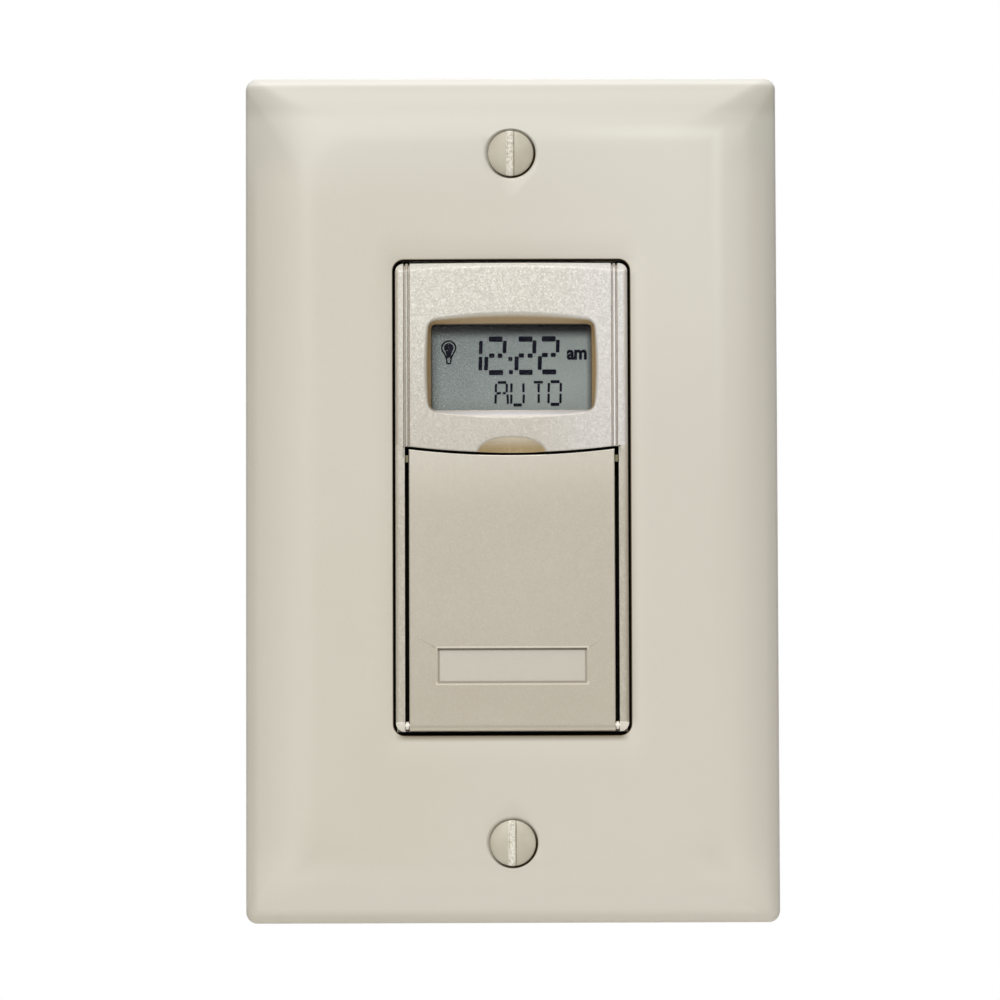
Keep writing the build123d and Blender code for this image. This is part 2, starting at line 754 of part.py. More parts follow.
def storage_capacitors():
    """Two cans side by side in the width of the transformer above them."""
    cans = []
    span = power_half_w - 2.4
    radius = (span - 1.0) / 4
    for x in (radius, span - radius):
        can = rod_y(radius, x, power_half_h - 22.2, (power_y[0] - 12.4, power_y[0]))
        cans.append(fillet(can.faces().sort_by(Axis.Y)[0].edges(), 0.4))
    return Compound(cans)


def film_capacitor():
    x = (2.0 - power_half_w, 0.6)
    body = block(x, (power_y[0] - 11.2, power_y[0]), (power_half_h - 37.4, power_half_h - 30.4))
    return fillet(body.edges().filter_by(Axis.Y), 0.8)


def surge_disc():
    z = power_half_h - 31.4
    disc = rod_x(4.4, power_y[0] - 6.6, z, (5.2, 9.2))
    for leg in (z - 3.2, z + 2.7):
        disc += block((6.9, 7.4), (power_y[0] - 4.6, power_y[0]), (leg, leg + 0.5))
    return disc


def board_link():
    z = (-power_half_h, 2.4 - power_half_h)
    strip = block((-7, 7), (board_y[1], board_y[1] + 2.5), z)
    strip += block((-6.2, 6.2), (board_y[1] + 2.5, power_y[0] - 2.5), (z[0] + 0.9, z[0] + 1.5))
    return strip + block((-7, 7), (power_y[0] - 2.5, power_y[0]), z)


def control_chip():
    return block((-4.5, 4.5), (board_y[1], board_y[1] + 1.3), (reset_z - 4.5, reset_z + 4.5))


pieces = {
    "wall_plate": wall_plate(),
    "plate_screws": plate_screws(),
    "mounting_yoke": mounting_yoke(),
    "box_screws": box_screws(),
    "ground_screw": ground_screw(),
    "front_bezel": front_bezel(),
    "display_lens": display_lens(),
    "lcd_panel": lcd_panel(),
    "contact_strips": contact_strips(),
    "display_backing": display_backing(),
    "key_board": key_board(),
    "keypad_mat": keypad_mat(),
    "paddle_frame": paddle_frame(),
    "paddle_pill": paddle_pill(),
    "hinge_pins": hinge_pins(),
    "door": door(),
    "reset_key": reset_key(),
    "battery_tray": battery_tray(),
    "coin_cell": coin_cell(),
    "battery_contacts": battery_contacts(),
    "rear_housing": rear_housing(),
    "housing_screws": housing_screws(),
    "terminal_plates": terminal_plates(),
    "terminal_screws": terminal_screws(),
    "neutral_screw": neutral_screw(),
    "power_board": power_board(),
    "relay": relay(),
    "mains_transformer": mains_transformer(),
    "storage_capacitors": storage_capacitors(),
    "film_capacitor": film_capacitor(),
    "surge_disc": surge_disc(),
    "board_link": board_link(),
    "control_chip": control_chip(),
}
for name, (x, z) in zip(("mode_key", "enter_key", "minus_key", "plus_key"), key_places()):
    pieces[name] = key(x, z)

for name, shape in pieces.items():
    export_step(shape, f"parts/{name}.step")
    print(name, len(shape.solids()), round(shape.volume, 1))
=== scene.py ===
import math
import bpy
import bmesh
import numpy as np
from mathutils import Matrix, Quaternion, Vector


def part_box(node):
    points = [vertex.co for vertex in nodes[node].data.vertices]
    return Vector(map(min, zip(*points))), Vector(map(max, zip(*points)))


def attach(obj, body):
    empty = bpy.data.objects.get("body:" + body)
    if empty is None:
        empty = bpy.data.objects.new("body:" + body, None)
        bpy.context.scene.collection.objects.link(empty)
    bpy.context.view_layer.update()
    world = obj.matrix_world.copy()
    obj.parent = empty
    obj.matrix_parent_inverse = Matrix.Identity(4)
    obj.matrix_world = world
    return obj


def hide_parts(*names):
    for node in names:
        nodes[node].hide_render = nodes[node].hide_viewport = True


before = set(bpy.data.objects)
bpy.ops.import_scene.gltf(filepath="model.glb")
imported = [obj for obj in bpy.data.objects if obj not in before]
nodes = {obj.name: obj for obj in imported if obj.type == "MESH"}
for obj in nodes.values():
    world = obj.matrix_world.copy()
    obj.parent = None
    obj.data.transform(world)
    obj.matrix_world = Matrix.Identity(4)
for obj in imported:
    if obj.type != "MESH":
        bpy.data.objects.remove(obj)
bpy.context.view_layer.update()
mm = 0.001


def srgb(red, green, blue):
    # screen colour, 0 to 255, to the linear values that shaders take
    part = np.array([red, green, blue]) / 255.0
    linear = np.where(part <= 0.04045, part / 12.92, ((part + 0.055) / 1.055) ** 2.4)
    return (*linear.tolist(), 1.0)


def operator(name, flip=False):
    # one Math node; flipped, the wire is the second of its two numbers
    def made(wire, other=0.0):
        first, second = (other, wire) if flip else (wire, other)
        return wire.graph.node("Math", {"operation": name}, {0: first, 1: second})
    return made


class Wire:
    # an output socket that can be reckoned with
    def __init__(self, graph, socket):
        self.graph = graph
        self.socket = socket

    __add__ = __radd__ = operator("ADD")
    __sub__ = operator("SUBTRACT")
    __neg__ = __rsub__ = operator("SUBTRACT", True)
    __mul__ = __rmul__ = operator("MULTIPLY")
    __truediv__ = operator("DIVIDE")
    __pow__ = operator("POWER")
    __abs__ = operator("ABSOLUTE")
    most = operator("MAXIMUM")
    least = operator("MINIMUM")
    sine = operator("SINE")

    def between(self, low, high):
        # smooth step from 0 at low to 1 at high
        settings = {"interpolation_type": "SMOOTHSTEP"}
        return self.graph.node("MapRange", settings, {0: self, 1: low, 2: high})

    def below(self, edge, soft):
        return 1 - self.between(edge - soft, edge + soft)

    def band(self, low, high, soft=0.04):
        # 1 between two values
        return self.between(low - soft, low + soft) * self.below(high, soft)


class Graph:
    # the emptied node tree of a material or world
    def __init__(self, owner):
        owner.use_nodes = True
        self.tree = owner.node_tree
        self.tree.nodes.clear()

    def node(self, kind, settings=None, sockets=None, out=0):
        made = self.tree.nodes.new("ShaderNode" + kind)
        for key, value in (settings or {}).items():
            setattr(made, key, value)
        for key, value in (sockets or {}).items():
            if isinstance(value, Wire):
                self.tree.links.new(value.socket, made.inputs[key])
            else:
                made.inputs[key].default_value = value
        return Wire(self, made.outputs[out]) if len(made.outputs) else None

    def place(self, stretch=None):
        # Object coordinates in metres, stretched where a pattern has a direction
        here = self.node("TexCoord", out="Object")
        if stretch is None:
            return here
        return self.node("Mapping", {}, {"Vector": here, "Scale": stretch})

    def vector(self, operation, sockets, out=0):
        return self.node("VectorMath", {"operation": operation}, sockets, out)

    def noise(self, scale, detail=2.0, rough=0.5, where=None):
        sockets = {"Vector": where or self.place(), "Scale": scale, "Detail": detail, "Roughness": rough}
        return self.node("TexNoise", {}, sockets)

    def cells(self, scale, settings=None, out=0):
        return self.node("TexVoronoi", settings, {"Vector": self.place(), "Scale": scale}, out)

    def mix(self, factor, first, second):
        return self.node("Mix", {"data_type": "RGBA"}, {0: factor, 6: first, 7: second}, out=2)

    def tones(self, v, factor):
        # from a finish's colour to its shade
        return self.mix(factor, v["colour"], v["shade"])

    def axis(self, which, kind="Object"):
        return self.node("SeparateXYZ", {}, {0: self.node("TexCoord", out=kind)}, out=which)

    def axes(self):
        # x, y and z in millimetres
        return [self.axis(which) * 1000.0 for which in range(3)]

    def bump(self, height, distance, under=None):
        sockets = {"Height": height, "Distance": distance}
        if under is not None:
            sockets["Normal"] = under
        return self.node("Bump", {}, sockets)


class Coats:
    # a tone that masked colours go over, one after another
    def __init__(self, graph, tone):
        self.graph = graph
        self.tone = tone

    def __call__(self, mask, *colour):
        over = srgb(*colour) if len(colour) == 3 else colour[0]
        self.tone = self.graph.mix(mask, self.tone, over)


def skin(tone, rough, normal, **more):
    # the sockets of a surface
    return {"Base Color": tone, "Roughness": rough, "Normal": normal, **more}


def coated(v, dark):
    # a clear coat, left off where the surface is painted nearly black as shade
    return {"Coat Weight": (1 - dark) * v["coat"], "Coat Roughness": v["coatRough"]}


# the values of a finish that are screen colours
toneNames = {"colour", "shade", "fleck", "grain", "pad", "chip", "steel"}


def makeMaterial(name, paint, values):
    material = bpy.data.materials.new(name)
    graph = Graph(material)
    values = {key: srgb(*value) if key in toneNames else value for key, value in values.items()}
    surface = graph.node("BsdfPrincipled", {}, paint(graph, values))
    graph.node("OutputMaterial", {}, {"Surface": surface})
    return material


# the tints below work in millimetres and return the tone and the share that is nearly black
# most of what they lay on is painted light: painted highlights, painted shade and painted shadow
def plateTint(graph, tone):
    x, y, z = graph.axes()
    across, up = abs(x), abs(z)
    coat = Coats(graph, tone)
    # painted light: the flat is lighter towards the right and towards the top
    coat(x.between(-34, 34), 216, 210, 198)
    coat(z.between(40, 52), 216, 213, 201)
    # the slopes, with painted light: paler at the sides and the foot, a little deeper at the head, with a painted
    # highlight on the rim
    inset = -(across - 37.55).most(up - 59.7)
    foot = (-z).between(47, 54)
    lift = inset.below(8.5, 2.5) * inset.between(0.8, 2.2) * (1 - z.between(44, 50))
    coat(lift * (foot * 0.4 + 0.6), 226, 221, 208)
    coat(z.between(53, 55.5) * z.below(58.2, 0.4), 204, 200, 187)
    coat(z.between(58.3, 58.8), 240, 237, 230)
    # painted highlight: brighter towards the upper right, most along the break of the slopes
    broad = x.between(-4, 26) * z.between(0, 40) * z.below(52.5, 0.8) * x.below(33.5, 1)
    coat(broad * 0.4, 232, 229, 218)
    ridge = inset.band(7.9, 9.2, 0.9) * z.between(-10, 52) * x.between(-2, 30)
    coat(ridge * 0.5, 240, 238, 228)
    # shade right of the opening and under its lower lip
    beyond = (across - 16.65).most(up - 33.4)
    right = (1 - beyond.between(-0.1, 1.3)) * 0.2 + beyond.below(0.12, 0.08) * 0.4
    coat(right * x.between(15, 16) * up.below(31.5, 0.8), 104, 84, 40)
    low = (-z).between(32.8, 33.6) * across.below(15.7, 0.9)
    coat((1 - beyond.between(-0.1, 1.05)) * (low * 0.95 + 0.03), 104, 88, 46)
    # painted shade inside the opening: brown and then nearly black
    inside = across.below(16.75, 0.04) * up.below(33.5, 0.04)
    coat(y.between(-6.4, -6.3) * inside, 120, 100, 66)
    dark = y.between(-6.28, -6.1) * inside
    coat(dark, 10, 6, 2)
    # painted shadow of the screw heads: the countersinks are dark on the lower right
    for centre in (-48.42, 48.42):
        rise = z - centre
        apart = (x * x + rise * rise) ** 0.5
        lower = ((x - rise) / apart).between(-0.9, 1.1)
        coat(apart.band(2.6, 3.52) * (lower * 0.75 + 0.25), 48, 34, 10)
    return coat.tone, dark


def headTint(graph, tone):
    x, y, z = graph.axes()
    across = abs(x)
    coat = Coats(graph, tone)
    # painted light: darker towards the foot and lighter towards the right
    coat(1 - z.between(6, 31), 190, 184, 173)
    coat(x.between(2, 14) * 0.6, 215, 212, 211)
    # painted shade in the finger notch, browner towards its foot
    bowl = graph.mix(z.between(6.4, 8.6), srgb(168, 145, 100), srgb(226, 214, 192))
    coat(y.between(-7.29, -7.1) * z.below(8.9, 0.2) * across.below(5.1, 0.2), bowl)
    # painted light and shade in the display's recess: brown shade on the walls, a pale lit lower wall, and black
    # shade next to the window
    side = graph.mix(x.between(-2, 2), srgb(144, 120, 82), srgb(156, 130, 88))
    wall = graph.mix(across.between(11.1, 11.7), srgb(164, 139, 98), side)
    wall = graph.mix(z.below(12.2, 0.3), wall, srgb(200, 195, 194))
    recess = z.between(10.5, 11) * z.below(27, 0.3) * across.below(13.1, 0.2)
    coat(y.between(-7.29, -6.92) * recess, wall)
    coat(y.between(-6.5, -6.3) * recess * z.between(12.2, 12.8), 24, 8, 2)
    # painted shade in the grooves, a painted highlight on the bead in the right one, painted brown shade on the
    # outer edges
    place = across + x.between(-0.1, 0.1) * 0.23
    coat(place.band(14.3, 15.2) * y.between(-7.2, -6.9) * 0.5, 120, 100, 70)
    coat(x.band(14.37, 14.53) * y.below(-6.8, 0.1) * 0.8, 255, 252, 248)
    coat(across.between(15.5, 16.15) * 0.3, 128, 100, 60)
    # painted shade: nearly black on the walls outside the head's outline and under its lower edge
    outer = 1 - across.below(16.26, 0.03) * abs(z).below(32.86, 0.03)
    down = (-graph.axis(2, "Normal")).between(0.5, 0.8)
    under = down * z.below(7.7, 0.1) * y.between(-7.2, -7)
    dark = (outer * y.between(-7, -6.4)).most(under)
    coat(dark, 10, 6, 2)
    return coat.tone, dark


def railTint(graph, tone):
    x, y, z = graph.axes()
    across = abs(x)
    coat = Coats(graph, tone)
    # painted light: lighter towards the top
    coat(z.between(-6, 7.2), 191, 185, 172)
    # a painted highlight on the bright lower ends, painted brown shade on the outer edge on the right
    coat((-z).between(31.45, 31.65), 250, 244, 232)
    coat(x.between(15.4, 16.1) * z.between(-31.7, -31.5) * 0.2, 128, 100, 60)
    # painted shade: nearly black walls and floors of the gaps, and faces turned down under the head and at the
    # foot
    deep = z.between(-31.7, -31.5) + across.between(16.2, 16.26)
    deep = (deep * across.between(14.35, 14.4) + (-z).between(32.8, 32.9)).least(1.0)
    inside = across.below(16.75, 0.04) * abs(z).below(33.5, 0.04)
    down = (-graph.axis(2, "Normal")).between(0.4, 0.8) * y.band(-7.1, -0.5, 0.1)
    foot = (-z).between(32.2, 32.5) * across.below(14.98, 0.03)
    under = (z.band(5.5, 7.7) + foot) * down
    dark = (inside * y.band(-6.7, -0.5, 0.2) * deep).most(under)
    coat(dark, 10, 5, 2)
    return coat.tone, dark


def doorTint(graph, tone):
    x, y, z = graph.axes()
    coat = Coats(graph, tone)
    # painted light: lighter towards the top
    coat(z.between(-6, 6.8) ** 2.0, 202, 195, 181)
    # a painted highlight on the rounded upper edge, painted light on the pale foot, and painted shade on its
    # nearly black underside
    up = graph.axis(2, "Normal")
    coat(up.between(0.2, 0.5) * z.between(4, 4.5) * y.below(-6.9, 0.1), 250, 244, 230)
    coat((-up).between(0.2, 0.7) * (-z).between(31.6, 32), 214, 205, 186)
    under = (-up).between(0.90, 0.97) * (-z).between(31.8, 32.1) * y.between(-6.7, -6.5)
    coat(under, 10, 5, 2)
    # a paler tablet with a painted shade line round its recessed edge, strongest along the top, and painted
    # highlights on its lips above and below
    rise = z + 23.66
    beyond = (abs(x) - 10.35).most(abs(rise) - 2.35)
    front = y.below(-6.6, 0.1)
    coat((1 - beyond.between(-0.3, -0.1)) * front, 199, 193, 180)
    light = beyond.band(0.14, 0.36) * abs(rise).between(2.2, 2.3) * front
    coat(light * 0.8, 222, 212, 196)
    line = beyond.band(-0.22, 0.10) * (rise.between(2, 2.3) * 0.5 + 0.35)
    coat(line * y.below(-6.8, 0.1), 70, 56, 20)
    return coat.tone, under


def frameTint(graph, tone):
    # painted light and shade: a painted highlight where its ears end beside the foot of the door, painted shade
    # in the gaps from the middle up, and painted shade that is nearly black deep in the gaps
    x, y, z = graph.axes()
    coat = Coats(graph, tone)
    gap = abs(x).between(14.35, 14.4)
    coat(gap * z.between(-10, 0), 126, 118, 88)
    coat((-z).between(31.4, 31.6), 250, 244, 232)
    dark = gap * y.band(-5.6, -1, 0.4)
    coat(dark, 10, 6, 2)
    return coat.tone, dark


def moulded(graph, v):
    # plastic: broad tone drift, fine grain, and a satin skin with a little orange peel
    drift = graph.noise(v["driftScale"], 3.0).between(0.3, 0.7)
    grain = graph.noise(v["grainScale"], 2.0)
    peel = graph.noise(v["peelScale"], 2.0)
    colour = graph.tones(v, drift)
    tone = graph.mix(grain.between(0.35, 0.65) * v["speckle"], colour, v["fleck"])
    rough = v["rough"] + (grain - 0.5) * v["roughDrift"]
    dark = 0.0
    if "tint" in v:
        tone, dark = v["tint"](graph, tone)
        rough = rough + dark * 0.5
    sockets = skin(tone, rough, graph.bump(peel + grain * v["grainShare"], v["peelDepth"]), IOR=1.47)
    return sockets | coated(v, dark) if "coat" in v else sockets


def pearl(graph, v):
    # a satin skin over flakes: each cell of the pattern is a flake with its own tilt and brightness
    flakes = graph.cells(v["flakeScale"], out="Color")
    tilted = graph.vector("SUBTRACT", {0: flakes, 1: (0.5, 0.5, 0.5)})
    tilted = graph.vector("SCALE", {0: tilted, "Scale": v["flakeTilt"]})
    tilted = graph.vector("ADD", {0: graph.node("NewGeometry", out="Normal"), 1: tilted})
    tilted = graph.vector("NORMALIZE", {0: tilted})
    shine = graph.node("SeparateColor", {}, {0: flakes}, out=1)
    drift = graph.noise(v["driftScale"], 3.0).between(0.3, 0.7)
    colour = graph.tones(v, drift)
    colour = graph.mix(shine.between(0.55, 1.0) * v["speckle"], colour, v["fleck"])
    colour, dark = v["tint"](graph, colour)
    rough = v["rough"] + shine * v["roughDrift"] + dark * 0.6
    normal = graph.bump(graph.noise(v["grainScale"], 2.0), v["peelDepth"], tilted)
    shiny = shine.between(0.2, 0.9) * v["metal"] * (1 - dark)
    return skin(colour, rough, normal, Metallic=shiny, IOR=1.5) | coated(v, dark)


def metal(graph, v):
    # plated or bare metal: brushed along one axis, with dull patches
    brushed = graph.noise(v["brushScale"], 3.0, 0.6, graph.place(v["brushStretch"]))
    patches = graph.noise(v["patchScale"], 4.0, 0.6).between(0.35, 0.7)
    colour = graph.tones(v, patches)
    rough = v["rough"] + patches * v["roughDrift"] + brushed * 0.08
    shine = 1.0
    if "black" in v:
        # a strip round the opening painted nearly black as the shade deep in the gap: its inner half width, half
        # height and breadth
        wide, tall, broad = v["black"]
        x, _, z = graph.axes()
        strip = (abs(x) - wide).most(abs(z) - tall).below(broad, 0.2)
        colour = graph.mix(strip, colour, srgb(14, 12, 10))
        rough = rough + strip * 0.4
        shine = 1 - strip
    return skin(colour, rough, graph.bump(brushed, v["brushDepth"]), Metallic=shine)


def paintedScrew(graph, v):
    # almond paint on the head, rubbed pale and rough in and beside the slot, with a thin dark line
    x, y, _ = graph.axes()
    chip = graph.noise(2600.0, 5.0, 0.7)
    front = y.below(-5.8, 0.2)
    slotMask = (abs(x + 0.18) + (chip - 0.5) * 0.5).below(0.5, 0.08) * front
    bare = y.between(-5.2, -4.6)
    colour = graph.tones(v, graph.noise(300.0, 3.0).between(0.3, 0.7))
    colour = graph.mix(slotMask * chip.between(0.36, 0.58), colour, v["chip"])
    line = (x + (chip - 0.5) * 0.2).band(0.36, 0.52) * front
    colour = graph.mix(line * 0.6, colour, srgb(96, 88, 66))
    colour = graph.mix(bare, colour, v["steel"])
    normal = graph.bump(chip * (slotMask * 0.9 + 0.05), 0.00006)
    return skin(colour, v["rough"] + slotMask * 0.3, normal, Metallic=bare)


def displayInk(graph, v):
    fade = graph.noise(900.0, 3.0).between(0.25, 0.75)
    colour = graph.tones(v, fade)
    normal = graph.bump(graph.noise(5000.0), 0.000003)
    return skin(colour, 0.55 + fade * 0.1, normal) | {"Specular IOR Level": 0.05}


def displayGlass(graph, v):
    # grey polariser over a matt reflector: fine grain, paler to the right and the foot, and the frame's
    # shadow along the top and the sides
    x, _, z = graph.axes()
    grain = graph.noise(4200.0, 3.0, 0.75)
    side = x.between(-11.5, 9) * 0.65 + (1 - z.between(12, 23)) * 0.5
    coat = Coats(graph, graph.tones(v, side))
    coat(grain.between(0.38, 0.62) * 0.7, v["grain"])
    coat(z.between(22, 23.7), 6, 3, 5)
    coat(x.between(10.4, 11.1) * 0.6 + (-x).between(9.6, 11.2) * 0.4, 50, 44, 40)
    normal = graph.bump(grain, 0.000003)
    return skin(coat.tone, 0.5 + grain * 0.2, normal) | {"Specular IOR Level": 0.2}


def lensClear(graph, v):
    # thin clear sheet: mostly see-through, with a faint sheen that smudges break up
    smudge = graph.noise(240.0, 4.0, 0.6).between(0.4, 0.8)
    normal = graph.bump(graph.noise(180.0), 0.000002)
    return skin(v["colour"], 0.06 + smudge * 0.12, normal, Alpha=0.02 + smudge * 0.02)


def rubber(graph, v):
    dust = graph.noise(v["scale"], 4.0, 0.65)
    colour = graph.tones(v, dust.between(0.35, 0.7))
    return skin(colour, v["rough"] + dust * 0.15, graph.bump(dust, 0.00001))


def striped(graph, v):
    # conductive layers stacked across X
    wave = (graph.axis(0) * v["layers"]).sine()
    colour = graph.tones(v, wave.between(-0.3, 0.3))
    return skin(colour, 0.6 + graph.noise(2000.0) * 0.1, graph.bump(wave, 0.000005))


def circuitBoard(graph, v):
    # green mask over copper: tracks from a stepped cell pattern, pads where cells are small
    pad = graph.cells(v["cell"], {"feature": "F1", "distance": "CHEBYCHEV"}).below(0.11, 0.02)
    track = graph.cells(v["cell"], {"feature": "DISTANCE_TO_EDGE"}).below(0.06, 0.02)
    colour = graph.tones(v, track)
    colour = graph.mix(pad, colour, v["pad"])
    normal = graph.bump(track + pad, 0.00002)
    return skin(colour, 0.35 + graph.noise(900.0) * 0.15, normal, Metallic=pad * 0.9)


def wrapped(graph, v):
    # shrink sleeve or printed case: a band of a second tone down one side
    band = graph.axis(v["axis"]).between(v["edge"] - 0.0002, v["edge"] + 0.0002)
    drift = graph.noise(500.0, 3.0)
    colour = graph.tones(v, band)
    return skin(colour, v["rough"] + drift * 0.15, graph.bump(drift, 0.000008))


# shared starting values; each finish changes what it needs
plasticValues = {
    "fleck": (222, 217, 204), "driftScale": 40.0, "grainScale": 3800.0, "peelScale": 420.0, "speckle": 0.10,
    "rough": 0.40, "roughDrift": 0.08, "grainShare": 0.25, "peelDepth": 0.000006,
}
pearlValues = {
    "fleck": (236, 234, 228), "driftScale": 60.0, "flakeScale": 6200.0, "flakeTilt": 0.17,
    "grainScale": 4200.0, "speckle": 0.4,
    "metal": 0.18, "rough": 0.38, "roughDrift": 0.10, "peelDepth": 0.000004, "coat": 0.3, "coatRough": 0.24,
}
metalValues = {
    "brushScale": 900.0, "brushStretch": (1.0, 1.0, 0.08), "brushDepth": 0.000004,
    "patchScale": 160.0, "rough": 0.24, "roughDrift": 0.16,
}
# each finish: its painter, starting values, colour, shade, and what else it has of its own
finishRows = {
    "platePlastic": (moulded, plasticValues, (212, 206, 192), (209, 203, 188),
                     {"coat": 0.18, "coatRough": 0.30, "tint": plateTint}),
    "bezelPearl": (pearl, pearlValues, (208, 204, 193), (204, 200, 188), {"tint": headTint}),
    "bezelRail": (pearl, pearlValues, (181, 174, 158), (177, 170, 154), {"speckle": 0.15, "tint": railTint}),
    "doorPearl": (pearl, pearlValues, (188, 180, 163), (185, 176, 159),
                  {"speckle": 0.08, "flakeTilt": 0.05, "metal": 0.08, "tint": doorTint}),
    "framePlastic": (moulded, plasticValues, (196, 190, 160), (188, 181, 152), {"rough": 0.5, "tint": frameTint}),
    "keyPlastic": (moulded, plasticValues, (206, 199, 182), (201, 194, 177), {"rough": 0.46}),
    "trayPlastic": (moulded, plasticValues, (186, 179, 160), (180, 173, 154), {"rough": 0.52}),
    "caseBlack": (moulded, plasticValues, (46, 46, 48), (40, 40, 42),
                  {"fleck": (66, 66, 68), "grainScale": 2600.0, "speckle": 0.22, "rough": 0.52,
                   "grainShare": 1.6, "peelDepth": 0.000016}),
    "relayCase": (moulded, plasticValues, (36, 38, 42), (30, 32, 36), {"fleck": (58, 60, 64)}),
    "chip": (moulded, plasticValues, (30, 30, 32), (26, 26, 28), {"fleck": (56, 56, 58), "rough": 0.6}),
    "plated": (metal, metalValues, (205, 204, 198), (176, 174, 166), {}),
    "strapSteel": (metal, metalValues, (205, 204, 198), (176, 174, 166), {"black": (16.3, 32.9, 1.2)}),
    "brass": (metal, metalValues, (214, 178, 104), (186, 148, 82), {"rough": 0.28}),
    "groundGreen": (metal, metalValues, (58, 128, 72), (40, 104, 58), {"rough": 0.34}),
    "core": (metal, metalValues, (128, 126, 122), (98, 90, 82), {"brushStretch": (1, 20, 1), "rough": 0.45}),
    "screwPaint": (paintedScrew, {"rough": 0.42}, (203, 197, 180), (196, 188, 170),
                   {"chip": (246, 242, 230), "steel": (196, 194, 188)}),
    "displayInk": (displayInk, {}, (4, 4, 16), (12, 13, 30), {}),
    "displayGlass": (displayGlass, {}, (104, 117, 118), (151, 161, 158), {"grain": (166, 172, 170)}),
    "lensClear": (lensClear, {}, (24, 26, 30), (24, 26, 30), {}),
    "backing": (rubber, {"scale": 700.0}, (236, 236, 230), (222, 222, 214), {"rough": 0.5}),
    "mat": (rubber, {"scale": 1500.0}, (150, 152, 156), (138, 140, 144), {"rough": 0.65}),
    "carbon": (rubber, {"scale": 2400.0}, (32, 32, 34), (44, 44, 46), {"rough": 0.7}),
    "disc": (rubber, {"scale": 900.0}, (42, 82, 160), (34, 68, 140), {"rough": 0.35}),
    "strips": (striped, {"layers": 60000.0}, (226, 160, 160), (40, 38, 40), {}),
    "board": (circuitBoard, {"cell": 420.0}, (26, 92, 50), (44, 124, 66), {"pad": (214, 190, 130)}),
    "sleeve": (wrapped, {"axis": 0, "edge": 0.0135}, (28, 34, 66), (180, 186, 196), {"rough": 0.35}),
    "film": (wrapped, {"axis": 1, "edge": 0.018}, (214, 172, 52), (200, 156, 44), {"rough": 0.42}),
}
finishes = {
    name: makeMaterial(name, paint, base | {"colour": colour, "shade": shade} | own)
    for name, (paint, base, colour, shade, own) in finishRows.items()
}
print("materials:", len(finishes))


def smoothFaces(mesh, angle):
    # smooth shading, with the edges sharper than the angle kept crisp
    mesh.shade_smooth()
    mesh.set_sharp_from_angle(angle=math.radians(angle))


def meshPoints(mesh):
    flat = np.empty(len(mesh.vertices) * 3)
    mesh.vertices.foreach_get("co", flat)
    return flat.reshape(-1, 3)


def weld(mesh, gap, outward):
    # merges doubles closer than the gap and, if asked, turns the faces outwards
    work = bmesh.new()
    work.from_mesh(mesh)
    bmesh.ops.remove_doubles(work, verts=work.verts, dist=gap)
    if outward:
        bmesh.ops.recalc_face_normals(work, faces=work.faces)
    work.to_mesh(mesh)
    work.free()


def addObject(name, data):
    made = bpy.data.objects.new(name, data)
    bpy.context.scene.collection.objects.link(made)
    return made


def newObject(name, points, faces, angle=32.0):
    mesh = bpy.data.meshes.new(name)
    mesh.from_pydata(np.asarray(points).reshape(-1, 3).tolist(), [], faces)
    weld(mesh, 2e-7, True)
    smoothFaces(mesh, angle)
    return addObject(name, mesh)


def settle(piece, finish, body, node=None):
    # a finished piece gets its material, its body, its slot and the node that it stands for
    piece.data.materials.clear()
    piece.data.materials.append(finishes[finish])
    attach(piece, body)
    if node:
        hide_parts(node)


def gridFaces(rows, columns, wrapRows=False, wrapColumns=True):
    # quads between neighbours of a rows x columns grid of points
    row = np.arange(rows if wrapRows else rows - 1)
    column = np.arange(columns if wrapColumns else columns - 1)
    r, c = np.meshgrid(row, column, indexing="ij")
    nextR, nextC = (r + 1) % rows, (c + 1) % columns
    quads = np.stack([r * columns + c, r * columns + nextC, nextR * columns + nextC, nextR * columns + c], -1)
    return quads.reshape(-1, 4).tolist()


def ringContours(halfWide, halfTall, radius, arcSteps=12, sideSteps=10):
    # rounded rectangles, one per entry: each corner is its centre plus radius times (cos, sin), and the
    # straight sides are evenly divided between the corners' ends
    halfWide, halfTall, radius = (np.asarray(a, float)[:, None] for a in (halfWide, halfTall, radius))
    corners = []
    for turn, (sx, sz) in enumerate(((1, 1), (-1, 1), (-1, -1), (1, -1))):
        angle = np.radians(90 * turn + np.linspace(0, 90, arcSteps))[None, :]
        x = sx * (halfWide - radius) + radius * np.cos(angle)
        z = sz * (halfTall - radius) + radius * np.sin(angle)
        corners.append(np.stack([x, z], -1))
    parts = []
    share = (np.arange(1, sideSteps) / sideSteps)[None, :, None]
    for here, after in zip(corners, corners[1:] + corners[:1]):
        parts += [here, here[:, -1:, :] * (1 - share) + after[:, :1, :] * share]
    return np.concatenate(parts, 1)


def atDepths(ring, depth):
    # contours in X and Z, each at its own Y
    return np.stack([ring[..., 0], np.repeat(depth[:, None], ring.shape[1], 1), ring[..., 1]], -1) * mm


def cutOrJoin(piece, other, operation):
    # a boolean with an object that is used up
    step = piece.modifiers.new("step", "BOOLEAN")
    step.operation = operation
    step.solver = "EXACT"
    step.object = other
    bpy.context.view_layer.update()
    graph = bpy.context.evaluated_depsgraph_get()
    mesh = bpy.data.meshes.new_from_object(piece.evaluated_get(graph))
    piece.modifiers.clear()
    spare = (piece.data, other.data)
    piece.data = mesh
    bpy.data.objects.remove(other)
    for old in spare:
        bpy.data.meshes.remove(old)


def shells(parts):
    # several (points, faces) as one
    points, faces, count = [], [], 0
    for each, its in parts:
        each = np.asarray(each).reshape(-1, 3)
        points.append(each)
        faces += [[i + count for i in face] for face in its]
        count += len(each)
    return np.concatenate(points), faces


